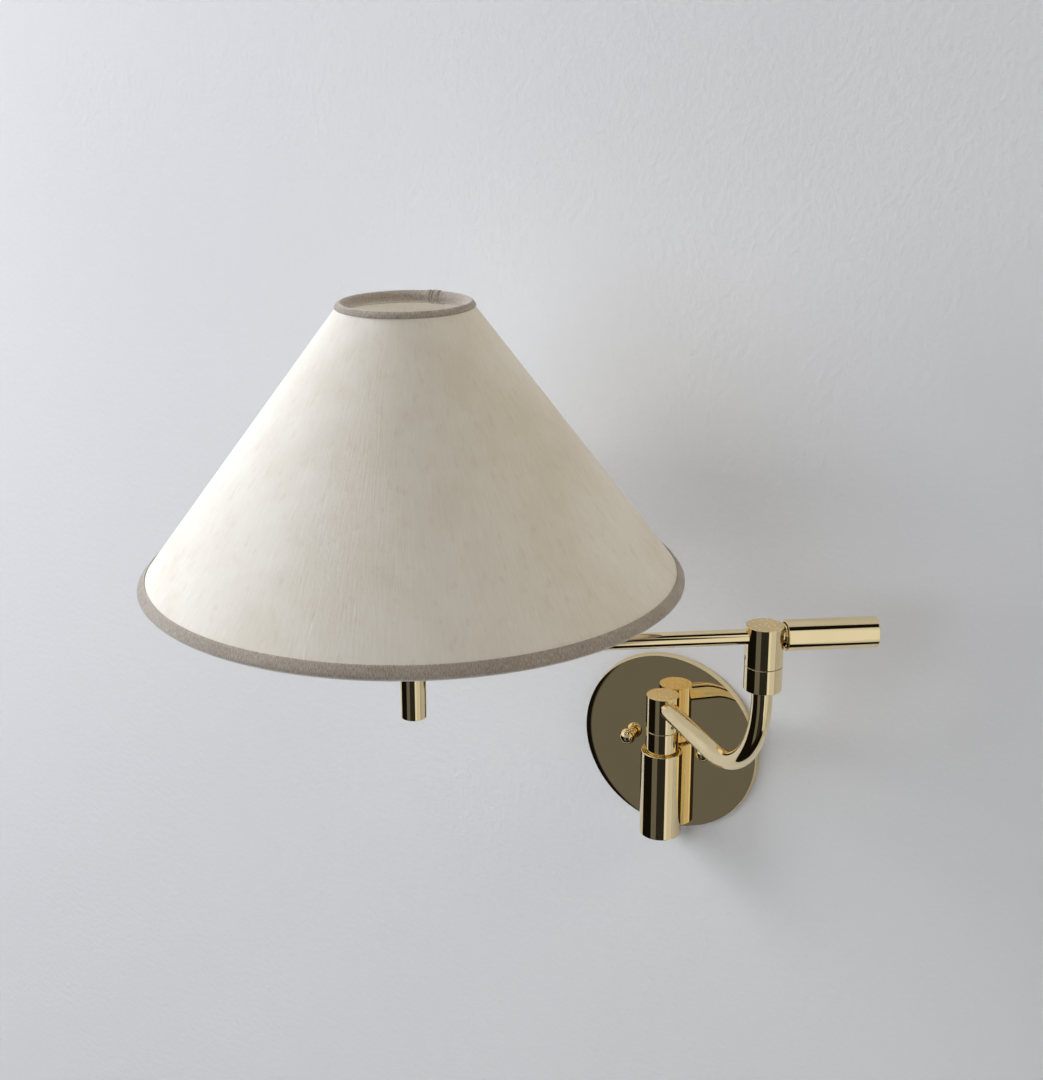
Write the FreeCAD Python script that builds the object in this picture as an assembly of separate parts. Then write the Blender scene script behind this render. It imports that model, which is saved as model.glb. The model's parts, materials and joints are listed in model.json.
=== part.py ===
import FreeCAD, Part
import math
import os

V = FreeCAD.Vector

# Swing arm wall sconce, millimetres.
# X runs right along the wall, Y into the wall, Z up.
# The origin is the centre of the wall plate, in the plane of the wall (y = 0).

# ---------------------------------------------------------------- driving dimensions
PLATE_R = 70.0            # round wall plate, 140 mm across
PLATE_FLAT_R = 68.4       # polished face; the side slopes out from here to the wall
PLATE_FACE_Y = -4.8       # polished face
PLATE_RECESS_R = 63.0     # hollow behind the plate for the strap
PLATE_RECESS_D = 2.4
STRAP_L, STRAP_W, STRAP_T = 108.0, 22.0, 1.5
STRAP_Y0 = -0.3           # back of the strap
NUT_X = 30.7              # ball nuts either side of the centre
NUT_BALL_R = 6.0
NUT_BALL_Y = -11.0
BOX_SCREW_X = 44.45       # wall box screws, 88.9 mm apart
BOX_HOLE_R = 2.6

POST_Y = -17.0            # vertical axis of the barrel and the wall hub
BARREL_R = 15.5
BARREL_Z0, BARREL_Z1 = -69.5, -1.5
BARREL_CAV_R = 7.0
BARREL_CAV_Z0, BARREL_CAV_Z1 = -62.0, -14.0
BARREL_SCREW_Z = (-18.0, -58.0)
WIRE_HOLE_Z, WIRE_HOLE_R = -38.0, 4.0

HUB_R = 12.2              # both swivel hubs
GAP = 0.4                 # friction washer between the two halves of a hub
PIVOT_R, PIVOT_BORE_R = 6.0, 3.6
FIT = 0.05                # radial clearance of running fits
H1_BOT, H1_SPLIT, H1_TOP = -12.0, 15.2, 43.2
H2_BOT, H2_SPLIT, H2_TOP = 110.4, 126.6, 153.8
ARM1_Z, ARM1_R, ARM1_IN = 34.8, 6.75, 5.5
ARM1_DEG = -42.8          # direction of the first arm at rest, from +X
ARM1_L = 151.0            # hub axis to hub axis
BEND_R = 69.0
ARM2_Z, ARM2_R, ARM2_IN = 146.3, 5.0, 3.9
ARM2_DEG = -145.0         # direction of the second arm at rest, from +X
ARM2_L = 225.0
KNOB_R, KNOB_S0, KNOB_S1 = 10.1, 13.2, 72.0

STEM_R, STEM_IN = 8.25, 6.8
STEM_Z0, STEM_Z1 = 101.1, 168.0

SHADE_B = (169.0, 198.2)  # radius and height of the outer bottom edge
SHADE_T = (39.8, 369.4)  # radius and height of the outer top edge
TAPE_W, TAPE_T = 8.0, 0.9
SKIN_OFF, SKIN_T = 1.2, 0.8
RING_WIRE_R = 1.5
SPOKE_R = 1.5

STOP_R, STOP_PIN_R = 9.2, 1.0
ARM1_RANGE = (-135.0, 42.0)
ARM2_RANGE = (-62.0, 265.0)

# ---------------------------------------------------------------- helpers
os.makedirs("parts", exist_ok=True)
NODES = {}


def put(name, shape):
    NODES[name] = shape


def cyl(r, p, d, h):
    return Part.makeCylinder(r, h, V(*p), V(*d))


def zc(r, z0, z1, x=0.0, y=0.0):
    return Part.makeCylinder(r, z1 - z0, V(x, y, z0), V(0, 0, 1))


def box(x0, y0, z0, x1, y1, z1):
    return Part.makeBox(x1 - x0, y1 - y0, z1 - z0, V(x0, y0, z0))


def rev(pts, axis_point=(0, 0, 0), axis=(0, 0, 1)):
    """Solid of revolution. pts are (radius, height) measured from axis_point along axis."""
    a = V(*axis)
    a.normalize()
    side = V(1, 0, 0) if abs(a.x) < 0.5 else V(0, 0, 1)
    side = side - a * side.dot(a)
    side.normalize()
    c = V(*axis_point)
    vs = [c + side * r + a * h for r, h in pts]
    wire = Part.makePolygon(vs + [vs[0]])
    return Part.Face(wire).revolve(c, a, 360)


def rev_wire(edges, c, a):
    return Part.Face(Part.Wire(edges)).revolve(c, a, 360)


def ring(r0, r1, z0, z1, x=0.0, y=0.0):
    return zc(r1, z0, z1, x, y).cut(zc(r0, z0 - 1, z1 + 1, x, y))


def edge_fillet(shape, r, test):
    es = [e for e in shape.Edges if test(e)]
    return shape.makeFillet(r, es) if es else shape


def circ_edge(z, r, tol=0.05, cx=0.0, cy=0.0):
    """True for full circular edges at a height and radius."""
    def t(e):
        c = e.Curve
        return (isinstance(c, Part.Circle) and abs(c.Radius - r) < tol
                and abs(c.Center.z - z) < tol and abs(c.Center.x - cx) < tol
                and abs(c.Center.y - cy) < tol)
    return t


def chamfer(shape, d, test):
    es = [e for e in shape.Edges if test(e)]
    return shape.makeChamfer(d, es) if es else shape


def unit(deg):
    return V(math.cos(math.radians(deg)), math.sin(math.radians(deg)), 0)


U1 = unit(ARM1_DEG)
U2 = unit(ARM2_DEG)
P1 = V(0, POST_Y, 0)                      # wall hub axis
P2 = P1 + U1 * ARM1_L                     # elbow hub axis
P3 = P2 + U2 * ARM2_L                     # lamp axis


def at(p, s, u, z):
    q = p + u * s
    return V(q.x, q.y, z)


def arc_slot(cx, cy, r_mid, half_w, z0, z1, deg0, deg1):
    """Arc-shaped groove between two directions, with round ends."""
    full = ring(r_mid - half_w, r_mid + half_w, z0, z1, cx, cy)
    seg = Part.makeCylinder(r_mid + half_w + 2, z1 - z0, V(cx, cy, z0), V(0, 0, 1), deg1 - deg0)
    seg.rotate(V(cx, cy, 0), V(0, 0, 1), deg0)
    out = full.common(seg)
    for d in (deg0, deg1):
        e = V(cx, cy, 0) + unit(d) * r_mid
        out = out.fuse(zc(half_w, z0, z1, e.x, e.y))
    return out


# ================================================================ wall side
# Wall plate: thin polished disc with a drafted side, hollow back
plate = rev([(0, -PLATE_RECESS_D), (PLATE_RECESS_R, -PLATE_RECESS_D), (PLATE_RECESS_R, 0), (PLATE_R, 0),
             (PLATE_FLAT_R + 0.12, PLATE_FACE_Y + 0.3), (PLATE_FLAT_R - 0.2, PLATE_FACE_Y), (0, PLATE_FACE_Y)],
            (0, 0, 0), (0, 1, 0))
for sx in (-1, 1):
    plate = plate.cut(cyl(2.6, (sx * NUT_X, 1, 0), (0, -1, 0), 8))
for z in BARREL_SCREW_Z:
    plate = plate.cut(cyl(2.3, (0, 1, z), (0, -1, 0), 8))
plate = plate.cut(cyl(WIRE_HOLE_R + 0.4, (0, 1, WIRE_HOLE_Z), (0, -1, 0), 8))
put("wall_plate", plate)

# Steel crossbar that screws to the wall box
bar = box(-STRAP_L / 2, STRAP_Y0 - STRAP_T, -STRAP_W / 2, STRAP_L / 2, STRAP_Y0, STRAP_W / 2)
bar = edge_fillet(bar, 5.0, lambda e: abs(abs(e.Vertexes[0].X) - STRAP_L / 2) < 0.01
                  and len(e.Vertexes) == 2 and abs(e.Vertexes[0].Y - e.Vertexes[1].Y) > 1)
bar = bar.cut(cyl(8.0, (0, 1, 0), (0, -1, 0), 4))
for sx in (-1, 1):
    bar = bar.cut(cyl(BOX_HOLE_R, (sx * BOX_SCREW_X, 1, 0), (0, -1, 0), 4))
    bar = bar.cut(cyl(2.0 + FIT, (sx * NUT_X, 1, 0), (0, -1, 0), 4))
put("mounting_strap", bar)

# Two studs in the crossbar, one node
studs = []
for sx in (-1, 1):
    s = rev([(0, 0), (1.7, 0), (2.0, -0.3), (2.0, -11.2), (1.7, -11.5), (0, -11.5)],
            (sx * NUT_X, STRAP_Y0, 0), (0, 1, 0))
    studs.append(s)
put("strap_studs", Part.makeCompound(studs))


# Two ball nuts: collar, neck and ball, blind threaded hole
def ball_nut(x):
    y0 = PLATE_FACE_Y
    ball = Part.makeSphere(NUT_BALL_R, V(x, NUT_BALL_Y, 0))
    foot = rev([(0, 0), (4.4, 0), (4.6, -0.25), (4.6, -1.1), (4.3, -1.4), (3.3, -1.6), (3.0, -2.2), (3.0, -4.0), (0, -4.0)],
               (x, y0, 0), (0, 1, 0))
    n = ball.fuse(foot).removeSplitter()
    return n.cut(cyl(2.0 + FIT, (x, y0 + 1, 0), (0, -1, 0), 9.2))


put("ball_nuts", Part.makeCompound([ball_nut(-NUT_X), ball_nut(NUT_X)]))

# Barrel: solid turned post with a flat seated on the plate, lipped open top
c1 = (0, POST_Y)
barrel = rev([(0, BARREL_Z0), (BARREL_R - 0.9, BARREL_Z0), (BARREL_R - 0.25, BARREL_Z0 + 0.25), (BARREL_R, BARREL_Z0 + 0.9),
              (BARREL_R, BARREL_Z1 - 0.55), (BARREL_R - 0.2, BARREL_Z1 - 0.15), (BARREL_R - 0.6, BARREL_Z1),
              (14.5, BARREL_Z1), (14.15, BARREL_Z1 - 0.35), (14.15, BARREL_Z1 - 1.0),
              (12.9, BARREL_Z1 - 1.0), (12.6, BARREL_Z1 - 1.3), (12.6, BARREL_Z1 - 2.6), (HUB_R + FIT, BARREL_Z1 - 2.6),
              (HUB_R + FIT, H1_BOT), (BARREL_CAV_R, H1_BOT), (BARREL_CAV_R, BARREL_CAV_Z0), (0, BARREL_CAV_Z0)],
             (0, POST_Y, 0))
barrel = barrel.cut(box(-30, PLATE_FACE_Y, BARREL_Z0 - 5, 30, 20, BARREL_Z1 + 5))
for z in BARREL_SCREW_Z:
    barrel = barrel.cut(cyl(2.0 + FIT, (0, PLATE_FACE_Y + 1, z), (0, -1, 0), 6.4))
barrel = barrel.cut(cyl(WIRE_HOLE_R, (0, PLATE_FACE_Y + 1, WIRE_HOLE_Z), (0, -1, 0), 13.0))
put("barrel", barrel)

# Two pan-head screws from behind the plate into the barrel
scr = []
for z in BARREL_SCREW_Z:
    h0 = -PLATE_RECESS_D
    s = rev([(0, -9.3), (1.7, -9.3), (2.0, -9.0), (2.0, h0), (3.7, h0), (3.7, h0 + 1.1), (3.0, h0 + 1.7), (0, h0 + 1.9)],
            (0, 0, z), (0, 1, 0))
    s = s.cut(box(-5, h0 + 1.0, z - 0.45, 5, 3, z + 0.45))
    scr.append(s)
put("barrel_screws", Part.makeCompound(scr))

# ================================================================ hub halves, shared by both hubs
GROOVE_DZ = (4.5, 6.7)     # retaining groove of a pivot above the split


def lower_sleeve(cx, cy, z_bot, z_split, bore_r, pivot_seat, slot_deg):
    """Fixed half of a hub. bore_r opens from below, the pivot is screwed into the top."""
    s = rev([(0, z_bot), (HUB_R - 0.35, z_bot), (HUB_R, z_bot + 0.35), (HUB_R, z_split - 0.3), (HUB_R - 0.3, z_split), (0, z_split)],
            (cx, cy, 0))
    s = s.cut(zc(bore_r, z_bot - 1, pivot_seat - 4.0, cx, cy))
    s = s.cut(zc(PIVOT_BORE_R + 0.6, pivot_seat - 5.0, pivot_seat + 1, cx, cy))
    s = s.cut(zc(PIVOT_R + FIT, pivot_seat, z_split + 1, cx, cy))
    e = V(cx, cy, 0) + unit(slot_deg) * STOP_R
    s = s.cut(zc(STOP_PIN_R + FIT, z_split - 4.5, z_split + 1, e.x, e.y))
    return s


def stop_pin(cx, cy, z_split, deg):
    e = V(cx, cy, 0) + unit(deg) * STOP_R
    return rev([(0, z_split - 4.5), (STOP_PIN_R, z_split - 4.5), (STOP_PIN_R, z_split + 1.5), (STOP_PIN_R - 0.2, z_split + 1.7), (0, z_split + 1.7)],
               (e.x, e.y, 0))


def friction_washer(cx, cy, z_split, deg):
    w = ring(PIVOT_R + 0.3, HUB_R - 0.9, z_split, z_split + GAP, cx, cy)
    e = V(cx, cy, 0) + unit(deg) * STOP_R
    return w.cut(zc(STOP_PIN_R + 0.2, z_split - 1, z_split + 2, e.x, e.y))


def pivot(cx, cy, z0, z1, z_split):
    g0, g1 = z_split + GAP + GROOVE_DZ[0] - 0.4, z_split + GAP + GROOVE_DZ[1] - 0.4
    p = rev([(PIVOT_BORE_R, z0), (PIVOT_R, z0), (PIVOT_R, g0), (PIVOT_R - 0.8, g0 + 0.3), (PIVOT_R - 0.8, g1 - 0.3), (PIVOT_R, g1),
             (PIVOT_R, z1 - 0.5), (PIVOT_R - 0.5, z1), (PIVOT_BORE_R, z1)], (cx, cy, 0))
    return p


def head(cx, cy, z_split, z_top, bore_top, screw_deg, slot0, slot1):
    """Turning half of a hub: blind bore for the pivot, arc slot for the stop pin, grub screw hole."""
    z0 = z_split + GAP
    h = rev([(0, z0), (HUB_R - 0.3, z0), (HUB_R, z0 + 0.3), (HUB_R, z_top - 0.45), (HUB_R - 0.15, z_top - 0.12), (HUB_R - 0.45, z_top), (0, z_top)],
            (cx, cy, 0))
    h = h.cut(zc(PIVOT_R + FIT, z0 - 1, bore_top, cx, cy))
    h = h.cut(arc_slot(cx, cy, STOP_R, STOP_PIN_R + 0.3, z0 - 0.5, z0 + 2.0, slot0, slot1))
    zs = z0 + (GROOVE_DZ[0] + GROOVE_DZ[1]) / 2 - 0.4
    d = unit(screw_deg)
    h = h.cut(Part.makeCylinder(1.5 + FIT, 12.0, V(cx + d.x * 4, cy + d.y * 4, zs), d))
    return h


def grub(cx, cy, z_split, deg):
    zs = z_split + GAP + (GROOVE_DZ[0] + GROOVE_DZ[1]) / 2 - 0.4
    d = unit(deg)
    b = V(cx, cy, zs) + d * 5.5
    g = Part.makeCone(0.7, 1.5, 0.8, b, d).fuse(Part.makeCylinder(1.5, 4.9, b + d * 0.8, d)).removeSplitter()
    hexa = Part.makePolygon([b + d * 3.9 + V(-d.y, d.x, 0) * (0.87 * math.cos(math.radians(k * 60))) + V(0, 0, 1) * (0.87 * math.sin(math.radians(k * 60)))
                             for k in range(7)])
    return g.cut(Part.Face(hexa).extrude(d * 4))


# ---- wall hub
PIN1_DEG = 90.0                                     # pin on the wall side
# slot in the head, as it lies at rest: when the head turns by q the pin sits at PIN1_DEG - q inside it
S1 = (PIN1_DEG - ARM1_RANGE[1], PIN1_DEG - ARM1_RANGE[0])
fs = lower_sleeve(0, POST_Y, H1_BOT, H1_SPLIT, BARREL_CAV_R - 0.5, 5.0, PIN1_DEG)
put("fixed_sleeve", fs)
put("stop_pin_1", stop_pin(0, POST_Y, H1_SPLIT, PIN1_DEG))
put("friction_washer_1", friction_washer(0, POST_Y, H1_SPLIT, PIN1_DEG))
PIV1_TOP = 27.0
put("pivot_1", pivot(0, POST_Y, 5.0, PIV1_TOP, H1_SPLIT))

h1 = head(0, POST_Y, H1_SPLIT, H1_TOP, 41.6, ARM1_DEG + 13.0, S1[0], S1[1])
a = at(P1, 5.0, U1, ARM1_Z)
h1 = h1.cut(Part.makeCylinder(ARM1_R + FIT, 12.0, a, U1))
put("swivel_head_1", h1)
put("grub_screw_1", grub(0, POST_Y, H1_SPLIT, ARM1_DEG + 13.0))

# ---- first arm: straight run, wide quarter bend upwards, into the sleeve under the elbow
ARM1_END = H2_BOT + 5.5


def arm1_path(s0, z_end):
    a0 = at(P1, s0, U1, ARM1_Z)
    a1 = at(P1, ARM1_L - BEND_R, U1, ARM1_Z)
    cm = V(a1.x, a1.y, ARM1_Z + BEND_R)
    am = cm + U1 * (BEND_R * math.sin(math.radians(45))) - V(0, 0, 1) * (BEND_R * math.cos(math.radians(45)))
    a2 = at(P1, ARM1_L, U1, ARM1_Z + BEND_R)
    a3 = at(P1, ARM1_L, U1, z_end)
    return [Part.makeLine(a0, a1), Part.Arc(a1, am, a2).toShape(), Part.makeLine(a2, a3)]


def sweep(edges, r, p, d):
    w = Part.Wire(edges)
    c = Part.Wire([Part.makeCircle(r, p, d)])
    return w.makePipeShell([c], True, True)


e1 = arm1_path(6.6, ARM1_END)
outer = sweep(e1, ARM1_R, at(P1, 6.6, U1, ARM1_Z), U1)
e1b = arm1_path(5.6, ARM1_END + 1.0)
inner = sweep(e1b, ARM1_IN, at(P1, 5.6, U1, ARM1_Z), U1)
tube1 = outer.cut(inner)
put("j_arm", tube1)

# ---- elbow hub
c2 = (P2.x, P2.y)
PIN2_DEG = ARM1_DEG + 180.0 - 0.0                    # pin on the side of the wall hub
Q2 = ARM2_RANGE
S2 = (PIN2_DEG - Q2[1], PIN2_DEG - Q2[0])
ls = lower_sleeve(c2[0], c2[1], H2_BOT, H2_SPLIT, ARM1_R + FIT, H2_SPLIT - 5.5, PIN2_DEG)
put("elbow_sleeve", ls)
put("stop_pin_2", stop_pin(c2[0], c2[1], H2_SPLIT, PIN2_DEG))
put("friction_washer_2", friction_washer(c2[0], c2[1], H2_SPLIT, PIN2_DEG))
PIV2_TOP = 139.0
put("pivot_2", pivot(c2[0], c2[1], H2_SPLIT - 5.5, PIV2_TOP, H2_SPLIT))

h2 = head(c2[0], c2[1], H2_SPLIT, H2_TOP, H2_TOP - 1.8, ARM2_DEG, S2[0], S2[1])
a = at(P2, 5.0, U2, ARM2_Z)
h2 = h2.cut(Part.makeCylinder(ARM2_R + FIT, 12.0, a, U2))
a = at(P2, -5.0, U2, ARM2_Z)
h2 = h2.cut(Part.makeCylinder(ARM2_R + FIT, 12.0, a, U2 * -1))
put("swivel_head_2", h2)
put("grub_screw_2", grub(c2[0], c2[1], H2_SPLIT, ARM2_DEG))

# ---- second arm: straight tube
a = at(P2, 6.6, U2, ARM2_Z)
L = ARM2_L - 6.6 - (STEM_IN + 0.3) + 1.0
t2 = Part.makeCylinder(ARM2_R, L, a, U2).cut(Part.makeCylinder(ARM2_IN, L + 2, at(P2, 5.6, U2, ARM2_Z), U2))
put("arm_tube_2", t2)

# ---- dimmer on the short end: bushing, body, shaft, turning knob
W2 = U2 * -1                                         # outward along the short end


def along(pts):
    """Turned piece on the short end's axis; heights are distances from the elbow axis."""
    return rev(pts, (P2.x, P2.y, ARM2_Z), (W2.x, W2.y, 0))


bush = along([(2.6, 6.6), (ARM2_R, 6.6), (ARM2_R, 12.3), (7.2, 12.3), (7.6, 12.8),
              (7.6, 19.0), (2.6, 19.0)])
put("knob_bushing", bush)
put("dimmer_body", along([(0, 19.0), (7.9, 19.0), (8.1, 19.2), (8.1, 44.0), (5.0, 44.0), (5.0, 48.0), (3.05, 48.0), (3.05, 40.0), (0, 40.0)]))
shaft = along([(0, 40.4), (2.8, 40.4), (3.0, 40.6), (3.0, 59.6), (2.7, 60.0), (0, 60.0)])
cutb = Part.makeBox(30, 10, 5, V(0, -5, 0))
cutb.rotate(V(0, 0, 0), V(0, 0, 1), math.degrees(math.atan2(W2.y, W2.x)))
cutb.translate(V(P2.x + W2.x * 50.0, P2.y + W2.y * 50.0, ARM2_Z + 1.6))
shaft = shaft.cut(cutb)
put("dimmer_shaft", shaft)
knob = along([(8.5, KNOB_S0), (KNOB_R - 0.35, KNOB_S0), (KNOB_R, KNOB_S0 + 0.35), (KNOB_R, KNOB_S1 - 0.9), (KNOB_R - 0.3, KNOB_S1 - 0.3),
              (KNOB_R - 0.9, KNOB_S1), (0, KNOB_S1), (0, 60.4), (3.05, 60.4), (3.05, 51.0), (8.5, 51.0)])
dfl = Part.makeBox(9.6, 8, 2.0, V(0, -4, 0))
dfl.rotate(V(0, 0, 0), V(0, 0, 1), math.degrees(math.atan2(W2.y, W2.x)))
dfl.translate(V(P2.x + W2.x * 50.9, P2.y + W2.y * 50.9, ARM2_Z + 1.65))
core = along([(0, 51.0), (3.4, 51.0), (3.4, 60.2), (0, 60.2)])
knob = knob.fuse(dfl.common(core)).removeSplitter()
put("end_knob", knob)

# ================================================================ lamp head
cx, cy = P3.x, P3.y
stem = ring(STEM_IN, STEM_R, STEM_Z0, STEM_Z1 - 3.0, cx, cy)
stem = stem.fuse(ring(5.0, STEM_R, STEM_Z1 - 3.0, STEM_Z1, cx, cy)).removeSplitter()
stem = chamfer(stem, 0.3, circ_edge(STEM_Z0, STEM_R, 0.05, cx, cy))
stem = stem.cut(Part.makeCylinder(ARM2_R + FIT, 12.0, at(P3, -4.0, U2, ARM2_Z), U2 * -1))
put("stem", stem)
put("stem_plug", rev([(0, STEM_Z0 + 0.1), (STEM_IN - FIT - 0.2, STEM_Z0 + 0.1), (STEM_IN - FIT, STEM_Z0 + 0.3), (STEM_IN - FIT, STEM_Z0 + 4.0), (0, STEM_Z0 + 4.0)],
                     (cx, cy, 0)))
put("nipple", ring(3.6, 4.95, 157.0, 176.0, cx, cy))

# brass cup under the lamp holder
put("socket_cup", rev([(5.0, 168.0), (15.5, 168.0), (18.6, 169.0), (19.6, 171.5), (19.6, 186.0), (18.6, 186.0), (18.6, 172.0), (17.9, 170.0),
                       (15.2, 169.2), (5.0, 169.2)], (cx, cy, 0)))


def hexnut(af, hole, z0, z1):
    r = af / math.sqrt(3)
    pts = [V(cx + r * math.cos(math.radians(60 * k)), cy + r * math.sin(math.radians(60 * k)), z0) for k in range(7)]
    return Part.Face(Part.makePolygon(pts)).extrude(V(0, 0, z1 - z0)).cut(zc(hole, z0 - 1, z1 + 1, cx, cy))


put("nipple_nuts", Part.makeCompound([hexnut(14.0, 5.0, 169.2, 172.2), hexnut(11.4, 5.0, 161.6, 165.0)]))

# insulating lamp holder body with a shoulder and a threaded skirt for the shade ring
HOLD_R = 17.4
body = rev([(6.0, 173.0), (HOLD_R, 173.0), (HOLD_R, 204.0), (22.0, 204.0), (22.0, 206.0), (19.6, 206.0), (19.6, 216.5), (18.9, 217.2),
            (13.7, 217.2), (13.7, 194.0), (6.0, 194.0)], (cx, cy, 0))
put("lamp_holder", body)
# thin metal screw shell and the centre contact
put("screw_shell", rev([(13.2, 196.5), (13.6, 196.5), (13.6, 216.0), (13.2, 216.0)], (cx, cy, 0)))
ct = rev([(0, 194.0), (5.0, 194.0), (5.0, 194.6), (2.4, 194.9), (1.6, 196.2), (0, 196.4)], (cx, cy, 0))
put("centre_contact", ct)
# threaded ring that clamps the shade carrier
nut = rev([(19.65, 207.5), (24.0, 207.5), (24.0, 212.6), (23.2, 213.4), (19.65, 213.4)], (cx, cy, 0))
for k in range(24):
    d = unit(k * 15.0)
    nut = nut.cut(zc(0.5, 207.0, 214.0, cx + d.x * 24.1, cy + d.y * 24.1))
put("shade_ring_nut", nut)

# bulb: threaded cap, glass envelope
cap = rev([(0, 196.6), (4.4, 196.6), (5.2, 197.2), (11.6, 200.4), (13.1, 201.4), (13.1, 221.0), (14.0, 224.6), (0, 224.6)], (cx, cy, 0))
put("bulb_base", cap)


def bulb_profile(off):
    """Outer line of the glass, (radius, height), inset by off."""
    r = 30.0 - off
    zc0 = 275.0
    neck = 13.6 - off
    zn = 224.8
    tang = math.radians(-42)
    pts = []
    pts.append((neck, zn))
    pts.append((neck + 0.3, zn + 6))
    pts.append((neck + 2.4, zn + 15))
    pts.append((r * math.cos(tang) - 1.6, zc0 + r * math.sin(tang) - 2.0))
    n = 14
    for i in range(n + 1):
        t = tang + (math.pi / 2 - tang) * i / n
        pts.append((max(r * math.cos(t), 0.0), zc0 + r * math.sin(t)))
    return pts


def spline_solid(pts, z_floor):
    vs = [V(cx + p[0], cy, p[1]) for p in pts]
    vs[-1] = V(cx, cy, pts[-1][1])
    b = Part.BSplineCurve()
    b.interpolate(vs, PeriodicFlag=False, InitialTangent=V(0.05, 0, 1), FinalTangent=V(-1, 0, 0))
    e = b.toShape()
    bot = V(cx, cy, pts[0][1])
    w = Part.Wire([e, Part.makeLine(vs[-1], bot), Part.makeLine(bot, vs[0])])
    return Part.Face(w).revolve(V(cx, cy, 0), V(0, 0, 1), 360)


glass = spline_solid(bulb_profile(0.0), 0).cut(spline_solid(bulb_profile(0.9), 0))
put("bulb_glass", glass)

# ---------------------------------------------------------------- shade
br, bz = SHADE_B
tr, tz = SHADE_T
SL = math.hypot(tr - br, tz - bz)
dr, dz = (tr - br) / SL, (tz - bz) / SL              # up the slope
nr, nz = dz, -dr                                     # outward


def sp(off, s):
    """Point of the shade's section: off outward from the outer line, s up the slope."""
    return (br + dr * s + nr * off, bz + dz * s + nz * off)


def section(pts):
    return rev([sp(o, s) for o, s in pts], (cx, cy, 0))


skin = section([(-SKIN_OFF, TAPE_T + 0.3), (-SKIN_OFF, SL - TAPE_T - 0.3), (-SKIN_OFF - SKIN_T, SL - TAPE_T - 0.3), (-SKIN_OFF - SKIN_T, TAPE_T + 0.3)])
put("shade_skin", skin)

WC = -(SKIN_OFF + SKIN_T + 0.3 + RING_WIRE_R)        # wire centre, inward
WS = TAPE_T + 0.3 + RING_WIRE_R                      # wire centre, from the edge


def tape(flip):
    q = [(0, 0.6), (0, TAPE_W - 0.3), (-0.3, TAPE_W), (-TAPE_T, TAPE_W), (-TAPE_T, TAPE_T), (-5.6, TAPE_T), (-5.6, 5.0), (-2.3, 7.6), (-2.3, 9.6), (-3.2, 9.6),
         (-3.2, 8.1), (-6.5, 5.4), (-6.5, 0.6), (-5.9, 0), (-0.6, 0)]
    return section([(o, SL - s if flip else s) for o, s in q])


def torus(s):
    r, z = sp(WC, s)
    return Part.makeTorus(r, RING_WIRE_R, V(cx, cy, z), V(0, 0, 1)), r, z


top_ring, _, _ = torus(SL - WS)
put("top_wire_ring", top_ring)
bot_ring, RB, ZB = torus(WS)

# wire ring inside the bottom edge
put("bottom_wire_ring", bot_ring)

# spider: centre washer and three spokes welded to it, each saddled over the bottom ring
SPOKE_DEG = [ARM2_DEG + 120.0 * k for k in range(3)]
frame = ring(19.9, 25.0, 206.0, 207.5, cx, cy)
spokes = []
for deg in SPOKE_DEG:
    d = unit(deg)
    p0 = V(cx, cy, 206.75) + d * 22.5
    p1 = V(cx, cy, 0) + d * (RB - 0.3) + V(0, 0, ZB + 1.45)
    spokes.append((p0, p1))
    frame = frame.fuse(Part.makeCylinder(SPOKE_R, (p1 - p0).Length, p0, p1 - p0))
frame = frame.cut(ring(0.5, 24.4, 200, 206.0, cx, cy)).cut(ring(0.5, 24.4, 207.5, 212, cx, cy))
frame = frame.cut(Part.makeTorus(RB, RING_WIRE_R + FIT, V(cx, cy, ZB), V(0, 0, 1)))
put("shade_spider", frame.removeSplitter())

bt = tape(False)
for p0, p1 in spokes:
    u = p1 - p0
    u.normalize()
    bt = bt.cut(Part.makeCylinder(SPOKE_R + 0.3, 21.0, p1 - u * 20.0, u))
put("bottom_tape", bt)
put("top_tape", tape(True))


# ================================================================ leads held inside the metalwork
def lead(points, r, bend):
    """Round sheathed lead along straight runs with rounded corners."""
    pts = [V(p) for p in points]
    edges = []
    prev = pts[0]
    for i in range(1, len(pts) - 1):
        a_, b_, c_ = pts[i - 1], pts[i], pts[i + 1]
        u = a_ - b_
        w = c_ - b_
        u.normalize()
        w.normalize()
        ang = math.acos(max(-1, min(1, u.dot(w))))
        t = bend / math.tan(ang / 2)
        s0, s1 = b_ + u * t, b_ + w * t
        bis = u + w
        bis.normalize()
        cen = b_ + bis * (bend / math.sin(ang / 2))
        mid = cen - bis * bend
        edges.append(Part.makeLine(prev, s0))
        edges.append(Part.Arc(s0, mid, s1).toShape())
        prev = s1
    edges.append(Part.makeLine(prev, pts[-1]))
    return sweep(edges, r, pts[0], pts[1] - pts[0])


LEAD_R = 2.1
put("lead_1", lead([V(0, -0.6, WIRE_HOLE_Z), V(0, POST_Y, WIRE_HOLE_Z), V(0, POST_Y, PIV1_TOP)], LEAD_R, 4.5))

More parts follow.
